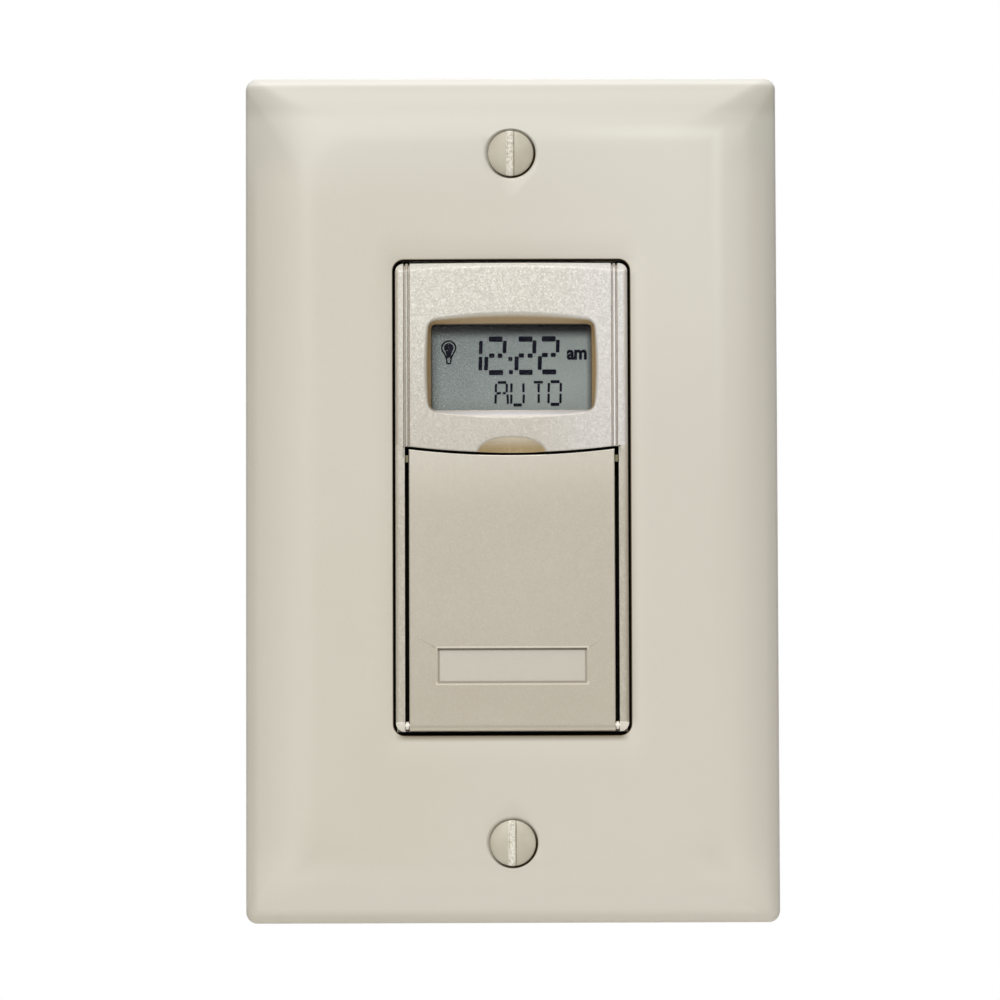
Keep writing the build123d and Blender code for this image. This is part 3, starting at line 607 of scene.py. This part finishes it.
def revolvedShell(z, profile, steps=72, thread=None):
    # surface of revolution about a Y line: radius and depth come from the profile, and a thread takes a
    # triangle wave of depth over pitch minus turns off the radius, fading out at its two ends
    radius, depth = (np.array(a) * mm for a in zip(*profile))
    if thread is not None:
        start, stop = (a * mm for a in thread["span"])
        split = int(np.searchsorted(depth, start + 1e-9))
        fine = np.linspace(start, stop, thread["rows"])[1:-1]
        shank = np.full(len(fine), thread["radius"] * mm)
        radius = np.concatenate([radius[:split], shank, radius[split:]])
        depth = np.concatenate([depth[:split], fine, depth[split:]])
    turn = np.linspace(0, 2 * np.pi, steps, endpoint=False)
    r = np.repeat(radius[:, None], steps, 1)
    y = np.repeat(depth[:, None], steps, 1)
    if thread is not None:
        pitch = thread["pitch"] * mm
        wave = np.abs(((y - start) / pitch - turn[None, :] / (2 * np.pi)) % 1.0 - 0.5) * 2
        fade = np.clip((y - start) / pitch, 0, 1) * np.clip((stop - y) / pitch, 0, 1)
        r = r - thread["depth"] * mm * wave * fade
    return np.stack([r * np.cos(turn), y, z * mm + r * np.sin(turn)], -1), gridFaces(len(r), steps)


# wall plate: contours from the opening out over the slope to the rim, then back along the inside
plateForm = {
    # half width, half height and corner radius
    "rim": (37.55, 59.7, 1.6),
    "opening": (16.65, 33.4, 1.6),
    "openingSoft": 0.22,
    "deep": 6.4,
    "wall": 2.2,
    "cornerGrowth": 0.62,
    "tightArc": 1.6,
    "wideArc": 14.0,
    "slope": 42.0,
    # what the arc and the corners lose on the inside
    "arcLoss": 1.4,
    "cornerLoss": 0.9,
    "screwRise": 48.42,
    # large and small radius, and degrees
    "countersink": (3.6, 2.1, 41.0),
    "lip": 0.10,
    # radius, how far it reaches into the wall, and its end
    "boss": (3.2, 0.6, -1.3),
}


def plateSection(deep, tight, wide, slope):
    # half section from the flat down to the rim: a wide arc, a tight arc and a drafted wall, as insets from
    # the outline and depths
    a = math.radians(slope)
    wall = deep - tight * math.cos(a) - wide * (1 - math.cos(a))
    draft = 0.04 * wall
    b = np.linspace(0, a, 30)
    edge = draft + tight - tight * math.sin(a) + wide * math.sin(a)
    flatIn = edge - wide * np.sin(b)
    flatY = -deep + wide * (1 - np.cos(b))
    c = np.linspace(math.pi / 2 - a, 0, 12)[1:]
    tightIn = draft + tight - tight * np.cos(c)
    tightY = -wall - tight * np.sin(c)
    return np.concatenate([flatIn, tightIn, [0.0]]), np.concatenate([flatY, tightY, [0.0]])


def buildPlate(v):
    # each contour is a half width, a half height and a corner radius: the opening's rounded lip, even steps
    # over the flat, the slope down to the rim, and the inside back up
    deep, soft = v["deep"], v["openingSoft"]
    inset, y = plateSection(deep, v["tightArc"], v["wideArc"], v["slope"])
    tight, wide = v["tightArc"] - v["arcLoss"], v["wideArc"] - v["wall"]
    inner, innerY = plateSection(deep - v["wall"], tight, wide, v["slope"])
    opening, rim = (np.array(v[key])[:, None] for key in ("opening", "rim"))
    growth = np.array([-1, -1, v["cornerGrowth"]])[:, None]
    turn = np.linspace(0, math.pi / 2, 6)
    lip = opening + soft * (1 - np.sin(turn))[::-1]
    lipY = -deep + soft * (1 - np.cos(turn))[::-1]
    out = rim + growth * inset
    flat = np.linspace(0, 1, 5)[1:-1]
    middle = lip[:, -1:] + (out[:, :1] - lip[:, -1:]) * flat
    back = rim + growth * (inner[::-1] + v["wall"])
    back[2] = np.maximum(back[2] - v["cornerLoss"], 0.5)
    ring = ringContours(*np.concatenate([lip, middle, out, back, opening], 1))
    depth = np.concatenate([lipY, np.full(len(flat), -deep), y, innerY[::-1], [v["wall"] - deep]])
    faces = gridFaces(len(depth), ring.shape[1], wrapRows=True)
    plate = newObject("coverPlate", atDepths(ring, depth), faces)
    # bosses on the inside, then the countersunk holes, each with a small rounded lip
    big, small, cone = v["countersink"]
    lip, (bossRadius, bossBase, bossEnd) = v["lip"], v["boss"]
    inside = v["wall"] - deep - bossBase
    tube = [(0, inside), (bossRadius, inside), (bossRadius, bossEnd), (0, bossEnd)]
    hole = [(0, -deep - 1), (big + lip * 2.4, -deep - 1), (big + lip * 2.4, -deep - 0.001)]
    hole += [(big + lip * 1.1, -deep + lip * 0.25), (big + lip * 0.2, -deep + lip)]
    hole += [(small, -deep + (big - small) / math.tan(math.radians(cone))), (small, 0.5), (0, 0.5)]
    for profile, operation in ((tube, "UNION"), (hole, "DIFFERENCE")):
        both = shells([revolvedShell(z, profile) for z in (-v["screwRise"], v["screwRise"])])
        cutOrJoin(plate, newObject("turned", *both), operation)
    smoothFaces(plate.data, 30)
    settle(plate, "platePlastic", "device", "wall_plate")


buildPlate(plateForm)
print("cover plate")


# front bezel: its head is a depth field over a grid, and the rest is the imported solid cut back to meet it
bezelForm = {
    "half": (16.3, 32.9, 1.3),
    "face": -7.3,
    "back": -6.0,
    "soft": 0.5,
    "lowerSoft": 0.12,
    "slopeArc": (190.0, 32.35),
    "edge": (7.14, 0.95, 15.0),
    "groove": (14.3, 15.2, 0.45, 0.07),
    "bead": (14.75, 0.2, 0.22),
    "grooveShift": (0.05, 0.3),
    "window": (11.2, 12.195, 24.245, 0.5),
    "recess": (11.75, 11.995, 24.945, 0.5, 1.02, 1.3),
    "recessDeep": 1.0,
    "notch": (4.95, 2.35, 6.1, 0.95),
    # the head's grid: from, to and how many
    "columns": ((5.4, 11.0, 14), (11.1, 12.6, 18), (12.8, 13.8, 5), (13.9, 15.32, 48), (15.4, 15.7, 3)),
    "rows": ((8.9, 10.6, 8), (10.7, 12.4, 22), (12.9, 23.9, 24), (24.1, 26.1, 24), (26.5, 31.2, 11),
             (31.4, 32.1, 8)),
}


def edgeLine(x, v):
    # lower edge of the head: a shallow arc, lowest in the middle
    level, drop, half = v["edge"]
    return level - drop * (1 - (x / half) ** 2)


def roundedDistance(across, up, radius):
    # distance from two sides at once, with the corner between them rounded
    a, b = across + radius, up + radius
    return np.minimum(np.maximum(a, b), 0) + np.hypot(np.maximum(a, 0), np.maximum(b, 0)) - radius


def headDepth(x, z, v):
    # how far the surface lies behind the face: the deepest of the edge rounding, the cone of the top slope,
    # the grooves less their bead, the display's recess and the finger notch
    half, top, corner = v["half"]
    inside = -roundedDistance(np.abs(x) - half, z - top, corner)
    soft = v["soft"]
    rounding = soft - np.sqrt(np.maximum(soft ** 2 - np.maximum(soft - inside, 0) ** 2, 0))
    reach, level = v["slopeArc"]
    slope = np.hypot(x, z - level + reach) - reach
    slope = 0.5 * (slope + np.sqrt(slope ** 2 + 0.004))
    soft = v["lowerSoft"]
    foot = np.where(np.abs(x) < 15.0, np.maximum(soft - (z - edgeLine(x, v)), 0), 0)
    foot = soft - np.sqrt(np.maximum(soft ** 2 - foot ** 2, 0))
    near, far, deep, wall = v["groove"]
    place = np.abs(x) + np.where(x < 0, v["grooveShift"][0], v["grooveShift"][1])
    groove = deep * np.clip((place - near) / wall, 0, 1) * np.clip((far - place) / wall, 0, 1)
    middle, radius, sunk = v["bead"]
    bead = sunk - np.sqrt(np.maximum(radius ** 2 - (place - middle) ** 2, 0))
    groove = np.where(np.abs(place - middle) < radius, np.minimum(groove, bead), groove)
    place = np.abs(x)
    side, low, high, bowSide, bowEnd, round_ = v["recess"]
    centre = (low + high) / 2
    sideLine = side + bowSide * (1 - ((z - centre) / (high - centre)) ** 2)
    endLine = bowEnd * (1 - (x / side) ** 2)
    ends = np.maximum(z - high - endLine, low - endLine - z)
    within = -roundedDistance(place - sideLine, ends, round_)
    wide, lower, upper, tight = v["window"]
    beyond = roundedDistance(place - wide, np.maximum(z - upper, lower - z), tight)
    share = np.clip(within / np.maximum(within + np.maximum(beyond, 0), 1e-6), 0, 1)
    recess = v["recessDeep"] * (0.45 * share + 0.55 * (1 - np.cos(share * np.pi / 2)))
    recess = np.where(within > 0, recess, 0)
    across, up, level, sunk = v["notch"]
    bowl = np.clip(1 - (x / across) ** 2 - ((z - level) / up) ** 2, 0, 1)
    notch = sunk * bowl * (1.6 - 0.6 * bowl)
    return np.maximum.reduce([rounding, slope + groove, foot, recess, notch])


def packedCopy(name):
    # a node's mesh as one merged shell, for cutting
    mesh = nodes[name].data.copy()
    weld(mesh, 1e-6, False)
    if "custom_normal" in mesh.attributes:
        mesh.attributes.remove(mesh.attributes["custom_normal"])
    mesh.materials.clear()
    return addObject(name + "Copy", mesh)


def prisms(name, outlines, yFront, yBack):
    # every outline (count, corners, 2) becomes a closed prism between two depths
    count, corners, _ = outlines.shape
    front = np.stack([outlines[..., 0], np.full((count, corners), yFront), outlines[..., 1]], -1)
    back = front.copy()
    back[..., 1] = yBack
    base = (np.arange(count) * 2 * corners)[:, None]
    around = np.arange(corners)
    after = (around + 1) % corners
    faces = (base + around).tolist() + (base + corners + around[::-1]).tolist()
    quads = np.stack([around, after, after + corners, around + corners], -1)[None] + base[..., None]
    return newObject(name, np.stack([front, back], 1) * mm, faces + quads.reshape(-1, 4).tolist())


def buildBezel(v):
    half, top, corner = v["half"]
    soft, foot, lowest = v["soft"], v["lowerSoft"], edgeLine(0.0, v)
    quarter = np.linspace(0, np.pi / 2, 12)
    # columns and rows are close where the surface turns
    spans = [np.arange(0, 5.4, 0.2)] + [np.linspace(*span) for span in v["columns"]]
    spans.append(half - soft * (1 - np.sin(np.linspace(0, np.pi / 2, 8))))
    right = np.unique(np.round(np.concatenate(spans), 4))
    columns = np.concatenate([-right[:0:-1], right])
    spans = [lowest + foot * (1 - np.cos(np.linspace(0, np.pi / 2, 5))), np.arange(lowest + 0.2, 8.7, 0.12)]
    spans += [np.linspace(*span) for span in v["rows"]] + [top - soft * 1.6 * (1 - np.sin(quarter))]
    rows = np.unique(np.round(np.concatenate(spans), 4))
    # the grid is bent to the arc of the lower edge and to the rounded upper corners
    x, level = np.meshgrid(columns, rows)
    outside = np.maximum(np.abs(x) - half + corner, 0)
    roundTop = top - corner + np.sqrt(np.maximum(corner ** 2 - outside ** 2, 0))
    low = edgeLine(x, v)
    z = low + (level - lowest) / (top - lowest) * (roundTop - low)
    front = np.stack([x, v["face"] + headDepth(x, z, v), z], -1).reshape(-1, 3)
    count, wide = x.shape
    index = np.arange(count * wide).reshape(count, wide)
    rim = np.concatenate([index[0], index[1:, -1], index[-1, -2::-1], index[-2:0:-1, 0]])
    behind = front[rim].copy()
    behind[:, 1] = v["back"]
    other = count * wide + np.arange(len(rim))
    walls = np.stack([rim, np.roll(rim, -1), np.roll(other, -1), other], -1).tolist()
    faces = gridFaces(count, wide, wrapColumns=False) + walls + [other.tolist()]
    head = newObject("bezelHead", np.concatenate([front, behind]) * mm, faces)
    wide, lower, upper, tight = v["window"]
    hole = ringContours([wide], [(upper - lower) / 2], [tight], 8, 2)[0] + [0, (upper + lower) / 2]
    cutOrJoin(head, prisms("hole", hole[None], -9, -5), "DIFFERENCE")
    smoothFaces(head.data, 38)
    body = packedCopy("front_bezel")
    span = np.linspace(-17.2, 17.2, 121)
    outline = np.concatenate([np.stack([span, edgeLine(span, v)], -1), [[17.2, 34.5], [-17.2, 34.5]]])
    cutOrJoin(body, prisms("cut", outline[None], -9, v["back"]), "DIFFERENCE")
    smoothFaces(body.data, 28)
    body.name = "bezelBody"
    for piece, finish in ((head, "bezelPearl"), (body, "bezelRail")):
        settle(piece, finish, "device", "front_bezel")


buildBezel(bezelForm)
print("bezel")


def slotCutter(z, half, wide, top, floor, chips, seed):
    # trench along Z: a closed section in X and Y carried along the slot, its floor lifted by smooth noise
    rng = np.random.default_rng(seed)
    rows, columns = 60, 9
    across = np.linspace(-1, 1, columns) * wide / 2
    along = np.linspace(-half, half, rows)
    rough = rng.random((rows, columns))
    for _ in range(2):
        rough = (rough + np.roll(rough, 1, 0) + np.roll(rough, 1, 1)) / 3
    low = np.stack([np.repeat(across[None], rows, 0), floor + chips * (rough - 0.5) * 2,
                    np.repeat(along[:, None], columns, 1)], -1)
    low[:, [0, -1], 0] += (rng.random((rows, 2)) - 0.5) * 0.06
    high = low[:, ::-1].copy()
    high[:, :, 1] = top
    points = (np.concatenate([low, high], 1) + [0, 0, z]) * mm
    count = 2 * columns
    ends = [list(range(count)), list(range((rows - 1) * count, rows * count))]
    return newObject("trench", points, gridFaces(rows, count) + ends)


def slottedScrew(name, z, profile, steps, thread, trench):
    # a profile turned about Y, less a trench across its head
    screw = newObject(name, *revolvedShell(z, profile, steps, thread))
    cutOrJoin(screw, trench, "DIFFERENCE")
    smoothFaces(screw.data, 34)
    return screw


# plate screws: oval heads with an upright slot full of chipped paint
plateScrewForm = {
    "rim": -6.12,
    "head": 3.2,
    "dome": 0.72,
    "cone": 41.0,
    "shank": 1.65,
    "slotWide": 1.0,
    "slotDeep": 0.32,
    "chips": 0.10,
    "thread": {"span": (-1.6, 3.3), "radius": 1.65, "pitch": 0.794, "depth": 0.34, "rows": 92},
}


def buildPlateScrews(v):
    arc = np.radians(np.linspace(90, 0, 12))
    dome = [(v["head"] * math.cos(t), v["rim"] - v["dome"] * math.sin(t)) for t in arc]
    drop = (v["head"] - v["shank"]) / math.tan(math.radians(v["cone"]))
    profile = dome + [(v["head"], v["rim"] + 0.08), (v["shank"], v["rim"] + 0.08 + drop)]
    profile += [(v["shank"], 3.3), (v["shank"] - 0.5, 4.0), (0, 4.0)]
    top = v["rim"] - v["dome"]
    size = (v["head"] + 0.4, v["slotWide"], top - 0.6, top + v["slotDeep"], v["chips"])
    for name, side, seed in (("lowerPlateScrew", -1, 5), ("upperPlateScrew", 1, 6)):
        z = side * plateForm["screwRise"]
        screw = slottedScrew(name, z, profile, 96, v["thread"], slotCutter(z, *size, seed))
        settle(screw, "screwPaint", "device", "plate_screws")


buildPlateScrews(plateScrewForm)
print("plate screws")


# box screws: low round heads, a slot, and a machine thread
boxScrewForm = {
    "rise": 41.67,
    "under": -1.3,
    # the head from its crown to its rim: radius and depth past its underside
    "head": ((0, -1.7), (1.5, -1.65), (2.2, -1.48), (2.7, -1.2), (3.05, -0.85), (3.2, -0.5), (3.2, 0)),
    "thread": {"span": (0.3, 20.2), "radius": 1.75, "pitch": 0.794, "depth": 0.36, "rows": 330},
}


def buildBoxScrews(v):
    profile = [(radius, v["under"] + y) for radius, y in v["head"]]
    profile += [(1.5, v["under"]), (1.5, 0.0), (1.75, 0.3), (1.75, 20.2), (1.2, 21.4), (0, 21.4)]
    for name, z in (("lowerBoxScrew", -v["rise"]), ("upperBoxScrew", v["rise"])):
        # the slot lies across, so its trench is turned a quarter about Y
        trench = slotCutter(0, 3.6, 0.9, -1.0, 0.95, 0.0, 3)
        px, py, pz = meshPoints(trench.data).T
        turned = np.stack([pz, py + (v["under"] - 1.7) * mm, z * mm - px], -1)
        trench.data.vertices.foreach_set("co", turned.ravel())
        trench.data.update()
        screw = slottedScrew(name, z, profile, 60, v["thread"], trench)
        settle(screw, "plated", "device", "box_screws")


buildBoxScrews(boxScrewForm)
print("box screws")


# display: the lens and the dark segments behind it
displayForm = {
    "lensFront": -5.9,
    "lensBack": -5.62,
    "half": 13.2,
    "low": 10.4,
    "high": 26.2,
    "inkFront": -5.55,
    "inkBack": -5.49,
    # drawing grid: steps per photo pixel, the pixels of its own and the frame's origin, and mm per pixel
    "steps": 6.03,
    "origin": (385.0, 250.0),
    "centre": (512.0, 497.0),
    "scale": 0.1404,
    "rise": 0.05,
    "bulb": (388.0, 588.0),
    "bulbLine": 9.0,
}
# each stroke: two ends and a width, on the drawing grid (x right, y down)
clockStrokes = [
    (583, 546, 580, 627, 22), (580, 642, 578, 724, 22),
    (630, 536, 714, 536, 32), (727, 546, 724, 620, 23), (632, 636, 664, 634, 26), (684, 636, 712, 636, 26),
    (616, 642, 612, 724, 24), (630, 738, 716, 738, 30),
    (760, 644, 760, 669, 24), (763, 723, 763, 748, 24),
    (810, 536, 894, 536, 32), (906, 544, 904, 622, 24), (810, 636, 842, 634, 25), (864, 636, 894, 636, 25),
    (798, 641, 796, 724, 24), (812, 737, 894, 737, 30),
    (950, 535, 1034, 535, 32), (1047, 541, 1045, 617, 22), (950, 633, 986, 632, 25), (1004, 632, 1034, 632, 25),
    (939, 639, 936, 722, 24), (952, 735, 1036, 735, 29),
]
modeStrokes = [
    (684, 798, 735, 798, 16), (673, 806, 671, 857, 14), (738, 806, 737, 857, 14), (676, 865, 702, 862, 14),
    (712, 864, 732, 862, 14), (671, 871, 669, 926, 14), (742, 871, 744, 928, 14),
    (766, 804, 765, 857, 14), (765, 871, 764, 926, 14), (778, 934, 828, 934, 18), (840, 871, 838, 924, 14),
    (838, 804, 838, 857, 14),
    (901, 797, 956, 797, 15), (930, 807, 930, 859, 14), (930, 869, 930, 922, 14),
    (1002, 794, 1056, 794, 17), (992, 802, 990, 857, 14), (990, 867, 989, 924, 14), (1064, 802, 1063, 854, 14),
    (1062, 867, 1061, 924, 14), (1002, 931, 1054, 931, 18),
]


def displayPoint(grid):
    # drawing grid to x and z in mm
    v = displayForm
    pixel = np.asarray(grid) / v["steps"] + v["origin"]
    return (pixel - v["centre"]) * [v["scale"], -v["scale"]] + [0, v["rise"]]


def strokeOutlines(strokes, cut=0.28, taper=0.9):
    # eight-cornered bar: the ends are cut to a blunt point, a share of the width from each side
    s = np.array(strokes, float)
    a, b, width = s[:, None, 0:2], s[:, None, 2:4], s[:, None, 4:5] / 2
    along = (b - a) / np.linalg.norm(b - a, axis=-1, keepdims=True)
    side = np.stack([-along[..., 1], along[..., 0]], -1) * width
    k = along * width * cut
    near = side * (1 - cut) * taper
    corners = [a + k + side, a + near, a - near, a + k - side, b - k - side, b - near, b + near, b - k + side]
    return np.concatenate(corners, 1)


def bulbOutline(radius, neck):
    # right half: a circle from its top round to 0.75 radians from the bottom, then the neck's corners; the
    # left half mirrors it
    turn = np.linspace(math.pi, 0.75, 60)
    right = np.concatenate([np.stack([radius * np.sin(turn), radius * np.cos(turn)], -1), neck])
    return np.concatenate([right, right[:0:-1] * [-1, 1]]) + displayForm["bulb"]


def buildDisplay(v):
    # bulb sign: an arc that narrows to a neck, as an outer line and a filled core; the line's inner side is
    # its outer one moved square to itself
    line = bulbOutline(46, [[21, 58], [17, 72], [16, 92], [10, 99]])
    along = np.roll(line, -1, 0) - np.roll(line, 1, 0)
    shrink = line + v["bulbLine"] * along[:, ::-1] * [-1, 1] / np.linalg.norm(along, axis=1, keepdims=True)
    bar = np.stack([line, shrink, np.roll(shrink, -1, 0), np.roll(line, -1, 0)], 1)
    signs = {
        "clockDigits": strokeOutlines(clockStrokes),
        "modeWord": strokeOutlines(modeStrokes),
        "bulbLine": bar,
        "bulbCore": bulbOutline(29, [[15, 40], [13, 62]])[None],
    }
    for name, outline in signs.items():
        sign = prisms(name, displayPoint(outline), v["inkFront"], v["inkBack"])
        settle(sign, "displayInk", "device")
    # small am, set in a plain sans letter and thickened
    words = bpy.data.curves.new("morning", "FONT")
    words.body = "am"
    words.size = 2.62 * mm
    words.offset = 0.10 * mm
    words.extrude = 0.03 * mm
    words.space_character = 0.94
    holder = addObject("morningText", words)
    bpy.context.view_layer.update()
    mesh = bpy.data.meshes.new_from_object(holder.evaluated_get(bpy.context.evaluated_depsgraph_get()))
    bpy.data.objects.remove(holder)
    flat = meshPoints(mesh)
    (left, base), (right, _) = displayPoint([(1100, 657), (1221, 657)]) * mm
    stretch = (right - left) / np.ptp(flat[:, 0])
    place = np.stack([(flat[:, 0] - flat[:, 0].min()) * stretch + left,
                      -flat[:, 2] + (v["inkFront"] + 0.03) * mm, flat[:, 1] + base], -1)
    faces = [list(face.vertices) for face in mesh.polygons]
    settle(newObject("morningSign", place, faces, 20), "displayInk", "device")


buildDisplay(displayForm)
print("display signs")


nodeFinish = {
    "mounting_yoke": "strapSteel", "ground_screw": "groundGreen", "lcd_panel": "displayGlass",
    "contact_strips": "strips", "display_backing": "backing", "key_board": "board", "keypad_mat": "mat",
    "paddle_frame": "framePlastic", "paddle_pill": "carbon", "hinge_pins": "plated", "door": "doorPearl",
    "reset_key": "keyPlastic", "battery_tray": "trayPlastic", "coin_cell": "plated",
    "battery_contacts": "plated", "rear_housing": "caseBlack", "housing_screws": "plated",
    "terminal_plates": "brass", "terminal_screws": "brass", "neutral_screw": "plated",
    "power_board": "board", "relay": "relayCase", "mains_transformer": "core",
    "storage_capacitors": "sleeve", "film_capacitor": "film", "surge_disc": "disc",
    "board_link": "relayCase", "control_chip": "chip", "mode_key": "keyPlastic",
    "enter_key": "keyPlastic", "minus_key": "keyPlastic", "plus_key": "keyPlastic",
}
softEdge = {
    "mounting_yoke": 0.12, "ground_screw": 0.12, "paddle_frame": 0.08, "reset_key": 0.1, "battery_tray": 0.12,
    "rear_housing": 0.18, "terminal_plates": 0.08, "relay": 0.2, "mains_transformer": 0.15, "door": 0.12,
}
for name, finish in nodeFinish.items():
    piece = nodes[name]
    for place in piece.material_slots:
        place.link = "OBJECT"
        place.material = finishes[finish]
    if name in softEdge:
        piece.modifiers.new("weld", "WELD").merge_threshold = 0.000001
        edge = piece.modifiers.new("edge", "BEVEL")
        edge.width = softEdge[name] * mm
        edge.segments = 2
        edge.limit_method = "ANGLE"
        edge.angle_limit = math.radians(40)
        edge.use_clamp_overlap = True
        even = piece.modifiers.new("even", "WEIGHTED_NORMAL")
        even.keep_sharp = True
        even.weight = 100
print("CAD nodes dressed:", len(nodeFinish))


# lens: a thin sheet in front of the signs, with eased edges
def buildLens(v):
    ease = 0.06
    inset = np.array([ease, 0, 0, ease])
    y = np.array([v["lensFront"], v["lensFront"] + ease, v["lensBack"] - ease, v["lensBack"]])
    ring = ringContours(v["half"] - inset, (v["high"] - v["low"]) / 2 - inset, np.full(4, 0.6), 5, 4)
    ring[..., 1] += (v["high"] + v["low"]) / 2
    count = ring.shape[1]
    faces = gridFaces(4, count) + [list(range(count)), list(range(3 * count, 4 * count))]
    lens = newObject("displayWindow", atDepths(ring, y), faces)
    settle(lens, "lensClear", "device", "display_lens")


buildLens(displayForm)
print("lens")


# raised signs on the keys: bars, a bent arrow, minus and plus
keySigns = {
    "mode_key": [(-1.1, 0.8, 1.1, 0.8, 0.34), (-1.1, 0.0, 1.1, 0.0, 0.34), (-1.1, -0.8, 1.1, -0.8, 0.34)],
    "enter_key": [(1.1, 0.9, 1.1, -0.4, 0.34), (1.2, -0.4, -1.0, -0.4, 0.34), (-1.1, -0.4, -0.35, 0.35, 0.34),
                  (-1.1, -0.4, -0.35, -1.15, 0.34)],
    "minus_key": [(-1.0, 0.0, 1.0, 0.0, 0.42)],
    "plus_key": [(-1.0, 0.0, 1.0, 0.0, 0.42), (0.0, -1.0, 0.0, 1.0, 0.42)],
}
for name, strokes in keySigns.items():
    low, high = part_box(name)
    middle = np.array([low.x + high.x, low.z + high.z]) / 2 / mm
    top = low.y / mm
    sign = prisms(name.replace("_", "") + "Sign", strokeOutlines(strokes) + middle, top - 0.12, top + 0.1)
    settle(sign, "framePlastic", name)
print("key signs")


# studio: camera, lamps, floor and world
studio = {
    "distance": 0.731,
    "elevation": -3.25,
    "roll": 0.19,
    "lens": 187.8,
    "aim": (-0.00166, -0.0064, -0.00044),
    "floor": -0.135,
    "floorSize": 0.48,
    "lamps": {
        # name: elevation, azimuth, distance, width, height, watts, colour
        "above": (63.0, -6.0, 1.3, 0.6, 1.0, 10.6, (1.0, 0.995, 0.98)),
        "below": (-62.0, 0.0, 1.3, 0.5, 0.6, 2.0, (1.0, 0.99, 0.97)),
        "front": (20.0, -8.0, 1.4, 0.4, 0.8, 7.8, (1.0, 0.99, 0.97)),
        "rear": (38.0, 155.0, 1.3, 0.8, 0.8, 7.0, (1.0, 1.0, 1.0)),
    },
    "worldLight": 0.03,
}


def aimed(name, data, place, line):
    # an object that looks along a line
    made = addObject(name, data)
    made.location = place
    made.rotation_mode = "QUATERNION"
    made.rotation_quaternion = line.to_track_quat("-Z", "Y")
    return made


def buildStudio(v):
    scene = bpy.context.scene
    lift = math.radians(v["elevation"])
    back = Vector((0, -math.cos(lift), math.sin(lift)))
    data = bpy.data.cameras.new("camera")
    data.lens = v["lens"]
    data.sensor_width = 36.0
    data.clip_start, data.clip_end = 0.01, 20.0
    camera = aimed("camera", data, Vector(v["aim"]) + back * v["distance"], -back)
    camera.rotation_quaternion = Quaternion(-back, math.radians(v["roll"])) @ camera.rotation_quaternion
    scene.camera = camera
    for name, (up, round_, far, width, height, watts, colour) in v["lamps"].items():
        up, round_ = math.radians(up), math.radians(round_)
        toLamp = Vector((math.cos(up) * math.sin(round_), -math.cos(up) * math.cos(round_), math.sin(up)))
        light = bpy.data.lights.new(name, "AREA")
        light.shape = "RECTANGLE"
        light.size, light.size_y = width, height
        light.energy = watts
        light.color = colour
        aimed(name, light, toLamp * far, -toLamp)

    world = bpy.data.worlds.new("studio")
    scene.world = world
    graph = Graph(world)
    rays = graph.node("LightPath", out="Is Camera Ray")
    for other in ("Is Glossy Ray", "Is Transmission Ray"):
        rays = rays.most(graph.node("LightPath", out=other))
    plain = graph.node("Background", {}, {"Color": (1, 0.99, 0.97, 1), "Strength": v["worldLight"]})
    white = graph.node("Background", {}, {"Color": (1, 1, 1, 1), "Strength": 1.0})
    graph.node("OutputWorld", {}, {"Surface": graph.node("MixShader", {}, {0: rays, 1: plain, 2: white})})

    # the floor fades out at its rim, from behind and for shadow rays
    size, z = v["floorSize"], v["floor"]
    mesh = bpy.data.meshes.new("floor")
    corners = [(-size, -size, z), (size, -size, z), (size, size, z), (-size, size, z)]
    mesh.from_pydata(corners, [], [(0, 1, 2, 3)])
    addObject("floor", mesh)
    material = bpy.data.materials.new("paleFloor")
    graph = Graph(material)
    far = graph.vector("LENGTH", {0: graph.place()}, "Value")
    gone = far.between(size * 0.55, size * 0.98)
    for through in (graph.node("NewGeometry", out="Backfacing"), graph.node("LightPath", out="Is Shadow Ray")):
        gone = gone.most(through)
    matt = graph.node("BsdfDiffuse", {}, {"Color": srgb(236, 235, 232)})
    clear = graph.node("BsdfTransparent")
    graph.node("OutputMaterial", {}, {"Surface": graph.node("MixShader", {}, {0: gone, 1: matt, 2: clear})})
    mesh.materials.append(material)
    scene.view_settings.view_transform = "Standard"


buildStudio(studio)
print("studio")
